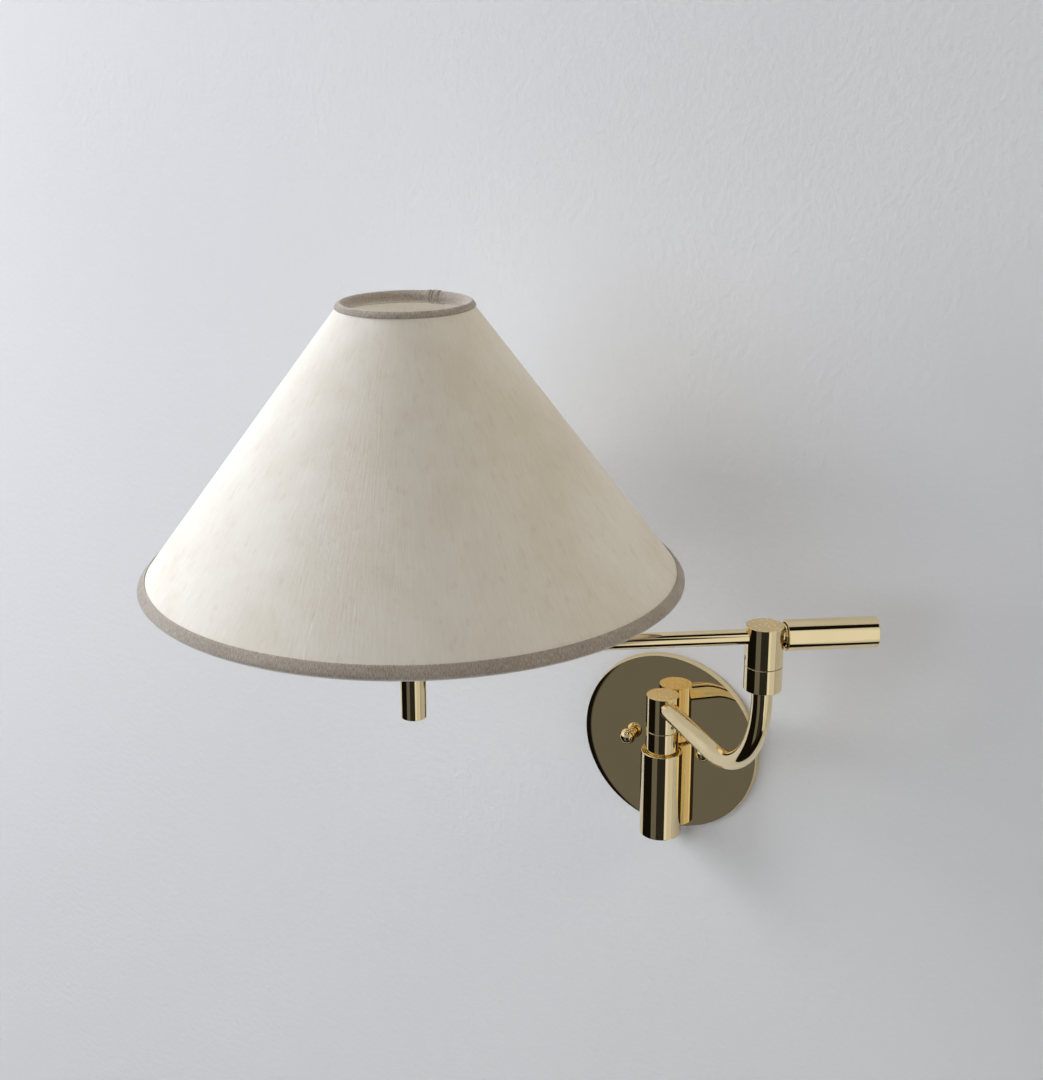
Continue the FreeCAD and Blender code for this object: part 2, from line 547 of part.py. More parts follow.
# through the wall hub's head, round the bend, up to the top of the elbow's pivot
l0 = V(0, POST_Y, PIV1_TOP + 0.5)
lm = V(0, POST_Y, ARM1_Z)
aa1 = at(P1, ARM1_L - BEND_R, U1, ARM1_Z)
bnd = 4.5
up = V(0, 0, 1)
s0 = lm - up * bnd
s1 = lm + U1 * bnd
cen = lm - up * bnd + U1 * bnd
mid = cen + (up - U1) * (bnd / math.sqrt(2))
cm = V(aa1.x, aa1.y, ARM1_Z + BEND_R)
am = cm + (U1 - up) * (BEND_R / math.sqrt(2))
aa2 = at(P1, ARM1_L, U1, ARM1_Z + BEND_R)
aa3 = at(P1, ARM1_L, U1, PIV2_TOP)
el = [Part.makeLine(l0, s0), Part.Arc(s0, mid, s1).toShape(), Part.makeLine(s1, aa1), Part.Arc(aa1, am, aa2).toShape(), Part.makeLine(aa2, aa3)]
put("lead_2", sweep(el, LEAD_R, l0, up))

# through the elbow's head, along the second arm, up the stem into the lamp holder
put("lead_3", lead([V(P2.x, P2.y, PIV2_TOP + 0.5), V(P2.x, P2.y, ARM2_Z), V(cx, cy, ARM2_Z), V(cx, cy, 181.0)], LEAD_R, 3.4))

# ---------------------------------------------------------------- export
body_h = NODES["lamp_holder"].cut(zc(2.6, 170.0, 181.3, cx, cy))
NODES["lamp_holder"] = body_h

for name, shape in NODES.items():
    solids = shape.Solids
    if not solids:
        raise RuntimeError(name + " has no solid")
    out = Part.makeCompound(solids) if len(solids) > 1 else solids[0]
    if not out.isValid():
        print("INVALID", name)
    out.exportStep("parts/" + name + ".step")
    bb = out.BoundBox
    print("%-20s solids %d vol %9.1f  x %7.1f %7.1f  y %7.1f %7.1f  z %7.1f %7.1f" % (
        name, len(solids), out.Volume, bb.XMin, bb.XMax, bb.YMin, bb.YMax, bb.ZMin, bb.ZMax))
print("axes", P1, P2, P3, "ring", RB, ZB)
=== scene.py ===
import bpy, bmesh, math, json, random
import numpy as np
from mathutils import Vector, Matrix

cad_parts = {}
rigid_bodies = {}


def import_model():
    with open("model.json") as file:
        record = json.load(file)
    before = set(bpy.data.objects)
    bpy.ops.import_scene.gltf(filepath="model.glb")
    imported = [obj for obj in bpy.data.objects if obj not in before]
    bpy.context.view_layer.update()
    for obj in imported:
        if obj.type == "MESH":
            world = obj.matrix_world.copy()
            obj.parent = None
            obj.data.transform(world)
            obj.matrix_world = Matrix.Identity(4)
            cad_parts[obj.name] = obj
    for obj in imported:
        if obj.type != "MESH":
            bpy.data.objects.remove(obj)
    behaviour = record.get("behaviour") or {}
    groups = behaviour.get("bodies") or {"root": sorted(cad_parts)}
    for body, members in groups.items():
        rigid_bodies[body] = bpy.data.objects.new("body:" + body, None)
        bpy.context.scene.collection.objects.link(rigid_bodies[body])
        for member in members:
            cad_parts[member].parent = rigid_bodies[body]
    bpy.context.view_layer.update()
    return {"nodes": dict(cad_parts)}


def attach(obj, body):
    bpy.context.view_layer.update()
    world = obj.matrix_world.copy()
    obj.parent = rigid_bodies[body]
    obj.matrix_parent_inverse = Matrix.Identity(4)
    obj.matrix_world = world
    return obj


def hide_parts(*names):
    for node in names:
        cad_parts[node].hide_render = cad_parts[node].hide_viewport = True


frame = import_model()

NODES = frame["nodes"]
MM = 0.001

# ------------------------------------------------------------------ dimensions, millimetres, as in the CAD model
PLATE_R, PLATE_FLAT_R, PLATE_FACE_Y = 70.0, 68.4, -4.8
RECESS_R, RECESS_D = 63.0, 2.4
NUT_X, NUT_Y, NUT_R = 30.7, -11.0, 6.0
POST_Y, BARREL_R, BZ0, BZ1 = -17.0, 15.5, -69.5, -1.5
HUB_R, GAP = 12.2, 0.4
H1_BOT, H1_SPLIT, H1_TOP = -12.0, 15.2, 43.2
H2_BOT, H2_SPLIT, H2_TOP = 110.4, 126.6, 153.8
ARM1_Z, ARM1_R, ARM1_DEG, ARM1_L, BEND_R = 34.8, 6.75, -42.8, 151.0, 69.0
ARM2_Z, ARM2_R, ARM2_DEG, ARM2_L = 146.3, 5.0, -145.0, 225.0
KNOB_R, KNOB_S0, KNOB_S1 = 10.1, 13.2, 72.0
STEM_R, STEM_IN, STEM_Z0, STEM_Z1 = 8.25, 6.8, 101.1, 168.0
SHADE_B, SHADE_T = (169.0, 198.2), (39.8, 369.4)
TAPE_W, TAPE_T, SKIN_OFF, SKIN_T, WIRE_R = 8.0, 0.9, 1.2, 0.8, 1.5


def unit(deg):
    return Vector((math.cos(math.radians(deg)), math.sin(math.radians(deg)), 0))


U1, U2 = unit(ARM1_DEG), unit(ARM2_DEG)
P1 = Vector((0, POST_Y, 0))
P2 = P1 + U1 * ARM1_L
P3 = P2 + U2 * ARM2_L
W2 = -U2
ZUP = Vector((0, 0, 1))

COL = bpy.context.scene.collection


# ------------------------------------------------------------------ mesh helpers
def new_obj(name, verts, faces, mat=None):
    me = bpy.data.meshes.new(name)
    me.from_pydata([tuple(v) for v in verts], [], faces)
    me.validate()
    me.update()
    ob = bpy.data.objects.new(name, me)
    COL.objects.link(ob)
    if mat:
        me.materials.append(mat)
    return ob


def frame_of(axis):
    """Two directions square to axis."""
    a = Vector(axis).normalized()
    s = Vector((1, 0, 0)) if abs(a.x) < 0.5 else Vector((0, 0, 1))
    s = (s - a * s.dot(a)).normalized()
    return a, s, a.cross(s)


def profile_segments(pts, closed):
    """pts: (r, h) or (r, h, fillet). Returns straight and arc pieces as (p0, n0, p1, n1), in order.
    The solid is on the left of the direction of travel, and normals point right, outwards."""
    n = len(pts)
    P = [Vector((p[0], p[1])) for p in pts]
    F = [p[2] if len(p) > 2 else 0.0 for p in pts]
    segs = []
    last = n if closed else n - 1
    starts = [P[i].copy() for i in range(n)]
    ends = [P[(i + 1) % n].copy() for i in range(n)]
    arcs = {}
    for i in range(n):
        if F[i] <= 0 or (not closed and i in (0, n - 1)):
            continue
        a, b, c = P[i - 1], P[i], P[(i + 1) % n]
        u, w = (a - b), (c - b)
        lu, lw = u.length, w.length
        if lu < 1e-9 or lw < 1e-9:
            continue
        u /= lu
        w /= lw
        ang = math.acos(max(-1, min(1, u.dot(w))))
        if ang > math.pi - 0.02:
            continue
        t = min(F[i] / math.tan(ang / 2), 0.48 * lu, 0.48 * lw)
        rad = t * math.tan(ang / 2)
        s, e = b + u * t, b + w * t
        bis = (u + w).normalized()
        cen = b + bis * (rad / math.sin(ang / 2))
        ends[i - 1] = s
        starts[i] = e
        turn = math.pi - ang
        steps = max(2, int(math.ceil(turn / math.radians(13))))
        v0, v1 = (s - cen), (e - cen)
        a0 = math.atan2(v0.y, v0.x)
        d = math.atan2(v1.y, v1.x) - a0
        while d > math.pi:
            d -= 2 * math.pi
        while d < -math.pi:
            d += 2 * math.pi
        q = []
        for k in range(steps + 1):
            th = a0 + d * k / steps
            rr = Vector((math.cos(th), math.sin(th)))
            q.append((cen + rr * rad, rr))
        arcs[i] = (q, d)
    for i in range(last):
        if i in arcs:
            q, d = arcs[i]
            s_, e_ = q[0][0], q[-1][0]
            for k in range(len(q) - 1):
                m = (q[k + 1][0] - q[k][0])
                nrm = Vector((m.y, -m.x))
                sg = 1 if nrm.dot(q[k][1] + q[k + 1][1]) > 0 else -1
                segs.append((q[k][0], q[k][1] * sg, q[k + 1][0], q[k + 1][1] * sg))
        m = ends[i] - starts[i]
        if m.length > 1e-7:
            nrm = Vector((m.y, -m.x)).normalized()
            segs.append((starts[i], nrm, ends[i], nrm))
    return segs


def lathe(name, pts, origin, axis, mat, seg=160, closed=True, arc=None):
    """Turned piece. pts run so that the solid is on their left seen with r to the right and h up."""
    if len(pts) > 2:
        area = 0
        for i in range(len(pts)):
            p, q = pts[i], pts[(i + 1) % len(pts)]
            area += p[0] * q[1] - q[0] * p[1]
        if area < 0:
            pts = list(reversed(pts))
    on_axis = pts[0][0] < 1e-6 and pts[-1][0] < 1e-6
    if not on_axis:
        # turn the list so that a piece that touches the axis starts and ends there
        ax = [i for i, p in enumerate(pts) if p[0] < 1e-6]
        if len(ax) == 2:
            k = ax[1] if (ax[1] - ax[0]) == 1 else ax[0]
            pts = pts[k:] + pts[:k]
            on_axis = pts[0][0] < 1e-6 and pts[-1][0] < 1e-6
    segs = profile_segments(pts, closed=not on_axis)
    a, s, t = frame_of(axis)
    o = Vector(origin)
    verts, norms_loop, faces = [], [], []
    index = {}
    dirs = [s * math.cos(2 * math.pi * k / seg) + t * math.sin(2 * math.pi * k / seg) for k in range(seg)]

    def vid(p, k):
        if p.x < 1e-6:
            key = (0.0, round(p.y, 5), 0)
        else:
            key = (round(p.x, 5), round(p.y, 5), k)
        if key not in index:
            index[key] = len(verts)
            verts.append((o + dirs[k] * p.x + a * p.y) * MM)
        return index[key]

    for p0, n0, p1, n1 in segs:
        if p0.x < 1e-6 and p1.x < 1e-6:
            continue
        for k in range(seg):
            k2 = (k + 1) % seg
            q = [(p0, n0, k), (p0, n0, k2), (p1, n1, k2), (p1, n1, k)]
            ids, nn, used = [], [], set()
            for p, n, kk in q:
                i = vid(p, kk)
                if i in used:
                    continue
                used.add(i)
                ids.append(i)
                d = dirs[kk] if p.x > 1e-6 else (dirs[k] + dirs[k2]).normalized()
                nn.append(tuple((d * n.x + a * n.y).normalized()))
            if len(ids) < 3:
                continue
            faces.append(ids)
            norms_loop.append(nn)
    me = bpy.data.meshes.new(name)
    me.from_pydata([tuple(v) for v in verts], [], faces)
    # outward check against the first wide face
    ob = bpy.data.objects.new(name, me)
    COL.objects.link(ob)
    flip = 0
    for poly, nn in zip(me.polygons, norms_loop):
        m = Vector((0, 0, 0))
        for v in nn:
            m += Vector(v)
        flip += 1 if poly.normal.dot(m) > 0 else -1
    if flip < 0:
        me.flip_normals()
        fixed = []
        for poly, ids, nn in zip(me.polygons, faces, norms_loop):
            look = dict(zip(ids, nn))
            fixed.append([look[v] for v in poly.vertices])
        norms_loop = fixed
    for poly in me.polygons:
        poly.use_smooth = True
    flat = []
    for poly, nn in zip(me.polygons, norms_loop):
        flat.extend(nn)
    me.normals_split_custom_set(flat)
    me.update()
    if mat:
        me.materials.append(mat)
    ob["prof"] = json.dumps([[p0.x, p0.y, n0.x, n0.y, p1.x, p1.y, n1.x, n1.y] for p0, n0, p1, n1 in segs])
    return ob


def sweep(name, path, tang, radius, mat, seg=64, up=None, inner=None, cap=True):
    """Round bar along points with given tangents, parallel frames, custom normals."""
    rings, frames = [], []
    t0 = tang[0].normalized()
    a, s, t = frame_of(t0) if up is None else (t0, (up - t0 * up.dot(t0)).normalized(), None)
    if t is None:
        t = a.cross(s)
    cur_s = s
    verts, faces, nl = [], [], []
    prev_t = t0
    for p, tt in zip(path, tang):
        tt = tt.normalized()
        q = prev_t.rotation_difference(tt)
        cur_s = (q @ cur_s)
        cur_s = (cur_s - tt * cur_s.dot(tt)).normalized()
        cur_t = tt.cross(cur_s)
        prev_t = tt
        ring = []
        for k in range(seg):
            th = 2 * math.pi * k / seg
            n = cur_s * math.cos(th) + cur_t * math.sin(th)
            ring.append((len(verts), n))
            verts.append((p + n * radius) * MM)
        rings.append(ring)
        frames.append(tt)
    for i in range(len(rings) - 1):
        for k in range(seg):
            k2 = (k + 1) % seg
            q = [rings[i][k], rings[i][k2], rings[i + 1][k2], rings[i + 1][k]]
            faces.append([v[0] for v in q])
            nl.append([tuple(v[1]) for v in q])
    if cap:
        faces.append([rings[0][k][0] for k in range(seg)][::-1])
        nl.append([tuple(-frames[0])] * seg)
        faces.append([rings[-1][k][0] for k in range(seg)])
        nl.append([tuple(frames[-1])] * seg)
    me = bpy.data.meshes.new(name)
    me.from_pydata([tuple(v) for v in verts], [], faces)
    ob = bpy.data.objects.new(name, me)
    COL.objects.link(ob)
    for poly in me.polygons:
        poly.use_smooth = True
    flat = []
    for nn in nl:
        flat.extend(nn)
    me.normals_split_custom_set(flat)
    me.update()
    if mat:
        me.materials.append(mat)
    return ob


def cut_hole(ob, point, direction, radius, depth, origin, axis, back=2.0, seg=48):
    """Drills a hole and gives the cut mesh exact normals again."""
    a, s, t = frame_of(direction)
    p = Vector(point)
    vs, fs = [], []
    for e, h in ((0, -depth), (1, back)):
        for k in range(seg):
            th = 2 * math.pi * k / seg
            vs.append((p + a * h + (s * math.cos(th) + t * math.sin(th)) * radius) * MM)
    for k in range(seg):
        k2 = (k + 1) % seg
        fs.append((k, k2, seg + k2, seg + k))
    fs.append(tuple(range(seg))[::-1])
    fs.append(tuple(range(seg, 2 * seg)))
    tool = new_obj("tool", vs, fs)
    mod = ob.modifiers.new("cut", "BOOLEAN")
    mod.operation = "DIFFERENCE"
    mod.solver = "EXACT"
    mod.object = tool
    dg = bpy.context.evaluated_depsgraph_get()
    me = bpy.data.meshes.new_from_object(ob.evaluated_get(dg))
    ob.modifiers.clear()
    old = ob.data
    ob.data = me
    bpy.data.objects.remove(tool)
    segs = json.loads(ob["prof"])
    A, _, _ = frame_of(axis)
    O = Vector(origin)
    flat = []
    for poly in me.polygons:
        c = poly.center * 1000.0
        fn = poly.normal
        rel = c - O
        h = rel.dot(A)
        rad = (rel - A * h)
        r = rad.length
        best = None
        for sgm in segs:
            ax_, ay_, _, _, bx_, by_, _, _ = sgm
            dx, dy = bx_ - ax_, by_ - ay_
            L2 = dx * dx + dy * dy
            u = 0 if L2 < 1e-12 else max(0, min(1, ((r - ax_) * dx + (h - ay_) * dy) / L2))
            d = math.hypot(r - ax_ - dx * u, h - ay_ - dy * u)
            nx, ny = sgm[2] * (1 - u) + sgm[6] * u, sgm[3] * (1 - u) + sgm[7] * u
            if r > 1e-6:
                nw = (rad / r) * nx + A * ny
            else:
                nw = A * ny
            score = d + (0 if nw.dot(fn) > 0.9 else 5.0)
            if best is None or score < best[0]:
                best = (score, sgm)
        on_prof = best[0] < 0.3
        for li in poly.loop_indices:
            v = me.vertices[me.loops[li].vertex_index].co * 1000.0
            if on_prof:
                rel = v - O
                h = rel.dot(A)
                rv = rel - A * h
                r = rv.length
                ax_, ay_, n0x, n0y, bx_, by_, n1x, n1y = best[1]
                dx, dy = bx_ - ax_, by_ - ay_
                L2 = dx * dx + dy * dy
                u = 0 if L2 < 1e-12 else max(0, min(1, ((r - ax_) * dx + (h - ay_) * dy) / L2))
                nx, ny = n0x * (1 - u) + n1x * u, n0y * (1 - u) + n1y * u
                n = (rv / max(r, 1e-9)) * nx + A * ny if r > 1e-6 else A * ny
            else:
                w = v - p
                w = w - a * w.dot(a)
                n = -w if abs(fn.dot(a)) < 0.5 else fn.copy()
            flat.append(tuple(n.normalized()))
        poly.use_smooth = True
    me.normals_split_custom_set(flat)
    me.update()
    return ob


# ------------------------------------------------------------------ material helpers
def mat_new(name):
    m = bpy.data.materials.new(name)
    m.use_nodes = True
    nt = m.node_tree
    bs = nt.nodes["Principled BSDF"]
    return m, nt, bs


def node(nt, kind, **kw):
    n = nt.nodes.new(kind)
    for k, v in kw.items():
        if k.startswith("i_"):
            n.inputs[k[2:].replace("_", " ")].default_value = v
        else:
            setattr(n, k, v)
    return n


def ramp(nt, fac, stops, interp="LINEAR"):
    r = nt.nodes.new("ShaderNodeValToRGB")
    r.color_ramp.interpolation = interp
    els = r.color_ramp.elements
    while len(els) < len(stops):
        els.new(0.5)
    for e, (p, c) in zip(els, stops):
        e.position = p
        e.color = (c[0], c[1], c[2], 1.0) if len(c) == 3 else c
    nt.links.new(fac, r.inputs["Fac"])
    return r


def srgb(r, g, b):
    def f(c):
        c /= 255.0
        return c / 12.92 if c <= 0.04045 else ((c + 0.055) / 1.055) ** 2.4
    return (f(r), f(g), f(b))


def brass(name, rough=0.035, satin=False):
    m, nt, bs = mat_new(name)
    tc = node(nt, "ShaderNodeTexCoord")
    bs.inputs["Metallic"].default_value = 1.0
    n1 = node(nt, "ShaderNodeTexNoise")
    n1.inputs["Scale"].default_value = 38.0
    n1.inputs["Detail"].default_value = 3.0
    nt.links.new(tc.outputs["Object"], n1.inputs["Vector"])
    lo, hi = ((0.895, 0.735, 0.435), (0.925, 0.775, 0.48)) if not satin else ((0.90, 0.69, 0.355), (0.93, 0.72, 0.38))
    if satin:
        bs.inputs["Metallic"].default_value = 0.68
        n1.inputs["Scale"].default_value = 500.0
    cr = ramp(nt, n1.outputs["Fac"], [(0.25, lo), (0.75, hi)])
    nt.links.new(cr.outputs["Color"], bs.inputs["Base Color"])
    n2 = node(nt, "ShaderNodeTexNoise")
    n2.inputs["Scale"].default_value = 160.0 if not satin else 900.0
    n2.inputs["Detail"].default_value = 5.0
    nt.links.new(tc.outputs["Object"], n2.inputs["Vector"])
    mr = node(nt, "ShaderNodeMapRange")
    mr.inputs["From Min"].default_value = 0.3
    mr.inputs["From Max"].default_value = 0.7
    mr.inputs["To Min"].default_value = rough * (0.93 if satin else 0.75)
    mr.inputs["To Max"].default_value = rough * (1.07 if satin else 1.35)
    nt.links.new(n2.outputs["Fac"], mr.inputs["Value"])
    nt.links.new(mr.outputs["Result"], bs.inputs["Roughness"])
    return m


def plain(name, base, var=0.06, rough=0.5, scale=60.0, metallic=0.0, bump=0.0, bscale=800.0, spec=0.5):
    m, nt, bs = mat_new(name)
    tc = node(nt, "ShaderNodeTexCoord")
    n1 = node(nt, "ShaderNodeTexNoise")
    n1.inputs["Scale"].default_value = scale
    n1.inputs["Detail"].default_value = 4.0
    nt.links.new(tc.outputs["Object"], n1.inputs["Vector"])
    lo = tuple(max(0.0, c * (1 - var)) for c in base)
    hi = tuple(min(1.0, c * (1 + var)) for c in base)
    cr = ramp(nt, n1.outputs["Fac"], [(0.3, lo), (0.7, hi)])
    nt.links.new(cr.outputs["Color"], bs.inputs["Base Color"])
    bs.inputs["Metallic"].default_value = metallic
    bs.inputs["Specular IOR Level"].default_value = spec
    mr = node(nt, "ShaderNodeMapRange")
    mr.inputs["To Min"].default_value = rough * 0.85
    mr.inputs["To Max"].default_value = min(1.0, rough * 1.15)
    nt.links.new(n1.outputs["Fac"], mr.inputs["Value"])
    nt.links.new(mr.outputs["Result"], bs.inputs["Roughness"])
    if bump > 0:
        n2 = node(nt, "ShaderNodeTexNoise")
        n2.inputs["Scale"].default_value = bscale
        n2.inputs["Detail"].default_value = 3.0
        nt.links.new(tc.outputs["Object"], n2.inputs["Vector"])
        b = node(nt, "ShaderNodeBump")
        b.inputs["Strength"].default_value = bump
        b.inputs["Distance"].default_value = 0.0002
        nt.links.new(n2.outputs["Fac"], b.inputs["Height"])
        nt.links.new(b.outputs["Normal"], bs.inputs["Normal"])
    return m


def shade_material():
    """Off-white linen on a stiff liner: soft warm mottling, fine fibres running up the slope."""
    m, nt, bs = mat_new("shade_linen")
    L = nt.links
    uv = node(nt, "ShaderNodeUVMap")
    uv.uv_map = "slope"
    tc = node(nt, "ShaderNodeTexCoord")
    # large warm stains
    n1 = node(nt, "ShaderNodeTexNoise")
    n1.inputs["Scale"].default_value = 14.0
    n1.inputs["Detail"].default_value = 6.0
    n1.inputs["Roughness"].default_value = 0.62
    L.new(tc.outputs["Object"], n1.inputs["Vector"])
    base = ramp(nt, n1.outputs["Fac"], [(0.30, (0.745, 0.690, 0.590)), (0.50, (0.800, 0.762, 0.682)), (0.72, (0.842, 0.815, 0.750))])
    # fibres up the slope
    mp = node(nt, "ShaderNodeMapping")
    mp.inputs["Scale"].default_value = (900.0, 60.0, 1.0)
    L.new(uv.outputs["UV"], mp.inputs["Vector"])
    n2 = node(nt, "ShaderNodeTexNoise")
    n2.inputs["Scale"].default_value = 1.0
    n2.inputs["Detail"].default_value = 4.0
    n2.inputs["Roughness"].default_value = 0.6
    n2.inputs["Distortion"].default_value = 0.4
    L.new(mp.outputs["Vector"], n2.inputs["Vector"])
    f2 = ramp(nt, n2.outputs["Fac"], [(0.30, (0.93, 0.925, 0.91)), (0.70, (1.0, 1.0, 1.0))])
    mx = node(nt, "ShaderNodeMix", data_type="RGBA", blend_type="MULTIPLY")
    mx.inputs["Factor"].default_value = 0.8
    L.new(base.outputs["Color"], mx.inputs["A"])
    L.new(f2.outputs["Color"], mx.inputs["B"])
    # small scattered flecks
    mp3 = node(nt, "ShaderNodeMapping")
    mp3.inputs["Scale"].default_value = (230.0, 90.0, 1.0)
    L.new(uv.outputs["UV"], mp3.inputs["Vector"])
    n3 = node(nt, "ShaderNodeTexNoise")
    n3.inputs["Scale"].default_value = 1.0
    n3.inputs["Detail"].default_value = 2.0
    L.new(mp3.outputs["Vector"], n3.inputs["Vector"])
    f3 = ramp(nt, n3.outputs["Fac"], [(0.30, (0.93, 0.90, 0.85)), (0.42, (1, 1, 1))])
    mx2 = node(nt, "ShaderNodeMix", data_type="RGBA", blend_type="MULTIPLY")
    mx2.inputs["Factor"].default_value = 0.6
    L.new(mx.outputs["Result"], mx2.inputs["A"])
    L.new(f3.outputs["Color"], mx2.inputs["B"])
    L.new(mx2.outputs["Result"], bs.inputs["Base Color"])
    bs.inputs["Roughness"].default_value = 0.82
    bs.inputs["Specular IOR Level"].default_value = 0.22
    # relief
    n4 = node(nt, "ShaderNodeTexNoise")
    n4.inputs["Scale"].default_value = 420.0
    n4.inputs["Detail"].default_value = 3.0
    L.new(tc.outputs["Object"], n4.inputs["Vector"])
    add = node(nt, "ShaderNodeMath", operation="MULTIPLY_ADD")
    add.inputs[1].default_value = 0.5
    L.new(n4.outputs["Fac"], add.inputs[0])
    L.new(n2.outputs["Fac"], add.inputs[2])
    b = node(nt, "ShaderNodeBump")
    b.inputs["Strength"].default_value = 0.6
    b.inputs["Distance"].default_value = 0.00035
    L.new(add.outputs["Value"], b.inputs["Height"])
    L.new(b.outputs["Normal"], bs.inputs["Normal"])
    return m


def tape_material():
    """Taupe binding tape: cross ribs and fuzzy threads."""
    m, nt, bs = mat_new("tape_taupe")
    L = nt.links
    uv = node(nt, "ShaderNodeUVMap")
    uv.uv_map = "slope"
    tc = node(nt, "ShaderNodeTexCoord")
    mp = node(nt, "ShaderNodeMapping")
    mp.inputs["Scale"].default_value = (1500.0, 420.0, 1.0)
    L.new(uv.outputs["UV"], mp.inputs["Vector"])
    n1 = node(nt, "ShaderNodeTexNoise")
    n1.inputs["Scale"].default_value = 1.0
    n1.inputs["Detail"].default_value = 4.0
    n1.inputs["Roughness"].default_value = 0.65
    L.new(mp.outputs["Vector"], n1.inputs["Vector"])
    c1 = ramp(nt, n1.outputs["Fac"], [(0.32, (0.255, 0.219, 0.180)), (0.50, (0.372, 0.327, 0.276)), (0.68, (0.505, 0.455, 0.395))])
    n2 = node(nt, "ShaderNodeTexNoise")
    n2.inputs["Scale"].default_value = 45.0
    n2.inputs["Detail"].default_value = 4.0
    L.new(tc.outputs["Object"], n2.inputs["Vector"])
    c2 = ramp(nt, n2.outputs["Fac"], [(0.3, (0.90, 0.89, 0.88)), (0.7, (1.06, 1.06, 1.06))])
    mx = node(nt, "ShaderNodeMix", data_type="RGBA", blend_type="MULTIPLY")
    mx.inputs["Factor"].default_value = 1.0
    L.new(c1.outputs["Color"], mx.inputs["A"])
    L.new(c2.outputs["Color"], mx.inputs["B"])
    L.new(mx.outputs["Result"], bs.inputs["Base Color"])
    bs.inputs["Roughness"].default_value = 0.9
    bs.inputs["Specular IOR Level"].default_value = 0.15
    bs.inputs["Sheen Weight"].default_value = 1.0
    bs.inputs["Sheen Tint"].default_value = (1.0, 0.97, 0.92, 1.0)
    bs.inputs["Sheen Roughness"].default_value = 0.4
    b = node(nt, "ShaderNodeBump")
    b.inputs["Strength"].default_value = 0.6
    b.inputs["Distance"].default_value = 0.0003
    L.new(n1.outputs["Fac"], b.inputs["Height"])
    L.new(b.outputs["Normal"], bs.inputs["Normal"])
    return m


BRASS = brass("polished_brass", 0.035)
BRASS_PLATE = brass("polished_brass_plate", 0.028)
BRASS_SATIN = brass("satin_brass", 0.26, True)
STEEL = plain("zinc_steel", (0.50, 0.50, 0.50), 0.08, 0.35, 90.0, 1.0, 0.15, 500.0)
WIRE = plain("white_wire", (0.62, 0.60, 0.56), 0.06, 0.42, 120.0, 0.0, 0.2, 700.0)
BLACK = plain("black_phenolic", (0.022, 0.021, 0.020), 0.15, 0.33, 80.0, 0.0, 0.15, 600.0)
NYLON = plain("washer_nylon", (0.55, 0.50, 0.40), 0.05, 0.5, 80.0)
SHEATH = plain("lead_sheath", (0.62, 0.52, 0.30), 0.05, 0.45, 80.0)
SHADE = shade_material()
TAPE = tape_material()


def bulb_material():
    m, nt, bs = mat_new("frosted_glass")
    tc = node(nt, "ShaderNodeTexCoord")
    n1 = node(nt, "ShaderNodeTexNoise")
    n1.inputs["Scale"].default_value = 30.0
    nt.links.new(tc.outputs["Object"], n1.inputs["Vector"])
    cr = ramp(nt, n1.outputs["Fac"], [(0.3, (0.83, 0.83, 0.81)), (0.7, (0.88, 0.88, 0.86))])
    nt.links.new(cr.outputs["Color"], bs.inputs["Base Color"])
    bs.inputs["Roughness"].default_value = 0.22
    bs.inputs["Subsurface Weight"].default_value = 0.0
    bs.inputs["Coat Weight"].default_value = 0.3
    bs.inputs["Coat Roughness"].default_value = 0.15
    return m


GLASS = bulb_material()


def done(ob, body, replaces=()):
    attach(ob, body)
    if replaces:
        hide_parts(*replaces)
    return ob


def set_mat(name, mat):
    o = NODES[name]
    o.data.materials.clear()
    o.data.materials.append(mat)


# ------------------------------------------------------------------ wall side
YAX = (0, 1, 0)
ROLL_R, ROLL_K = 58.0, 0.053             # the polished face falls away gently outside this radius, degrees per mm squared


def roll(r):
    """Tilt (radians) and drop (mm) of the face at a radius."""
    d = max(0.0, r - ROLL_R)
    return math.radians(ROLL_K * d * d), math.radians(ROLL_K) * d ** 3 / 3.0


rim = [(PLATE_R, 0, 0.2), (PLATE_FLAT_R + 0.1, PLATE_FACE_Y + roll(PLATE_FLAT_R)[1], 0.18)]
r = PLATE_FLAT_R - 0.6
while r > ROLL_R:
    rim.append((r, PLATE_FACE_Y + roll(r)[1]))
    r -= 0.9
plate = lathe("plate", [(0, -RECESS_D), (RECESS_R, -RECESS_D), (RECESS_R, 0, 0.25)] + rim + [(ROLL_R, PLATE_FACE_Y), (0, PLATE_FACE_Y)],
              (0, 0, 0), YAX, BRASS_PLATE, seg=256)
me = plate.data
cur = [tuple(x.vector) for x in me.corner_normals]
for poly in me.polygons:
    if poly.normal.y > -0.98:
        continue
    for li in poly.loop_indices:
        co = me.vertices[me.loops[li].vertex_index].co * 1000.0
        rr = math.hypot(co.x, co.z)
        if rr > ROLL_R - 0.1:
            th = roll(min(rr, PLATE_FLAT_R))[0]
            cur[li] = (math.sin(th) * co.x / rr, -math.cos(th), math.sin(th) * co.z / rr)
me.normals_split_custom_set(cur)
me.update()
done(plate, "wall_bracket", ["wall_plate"])

nuts = []
for i, sx in enumerate((-1, 1)):
    y0 = PLATE_FACE_Y
    # ball profile along +Y axis measured from y = 0
    pr = [(0, NUT_Y - NUT_R)]
    for k in range(1, 23):
        th = -math.pi / 2 + (math.pi * 0.835) * k / 22
        pr.append((NUT_R * math.cos(th), NUT_Y + NUT_R * math.sin(th)))
    pr += [(3.0, y0 - 1.75, 0.3), (3.3, y0 - 1.5, 0.1), (4.3, y0 - 1.4, 0.25), (4.6, y0 - 1.1, 0.2), (4.6, y0 - 0.25, 0.15), (4.4, y0), (0, y0)]
    nuts.append(lathe("ball_nut_%d" % (i + 1), pr, (sx * NUT_X, 0, 0), YAX, BRASS, seg=72))
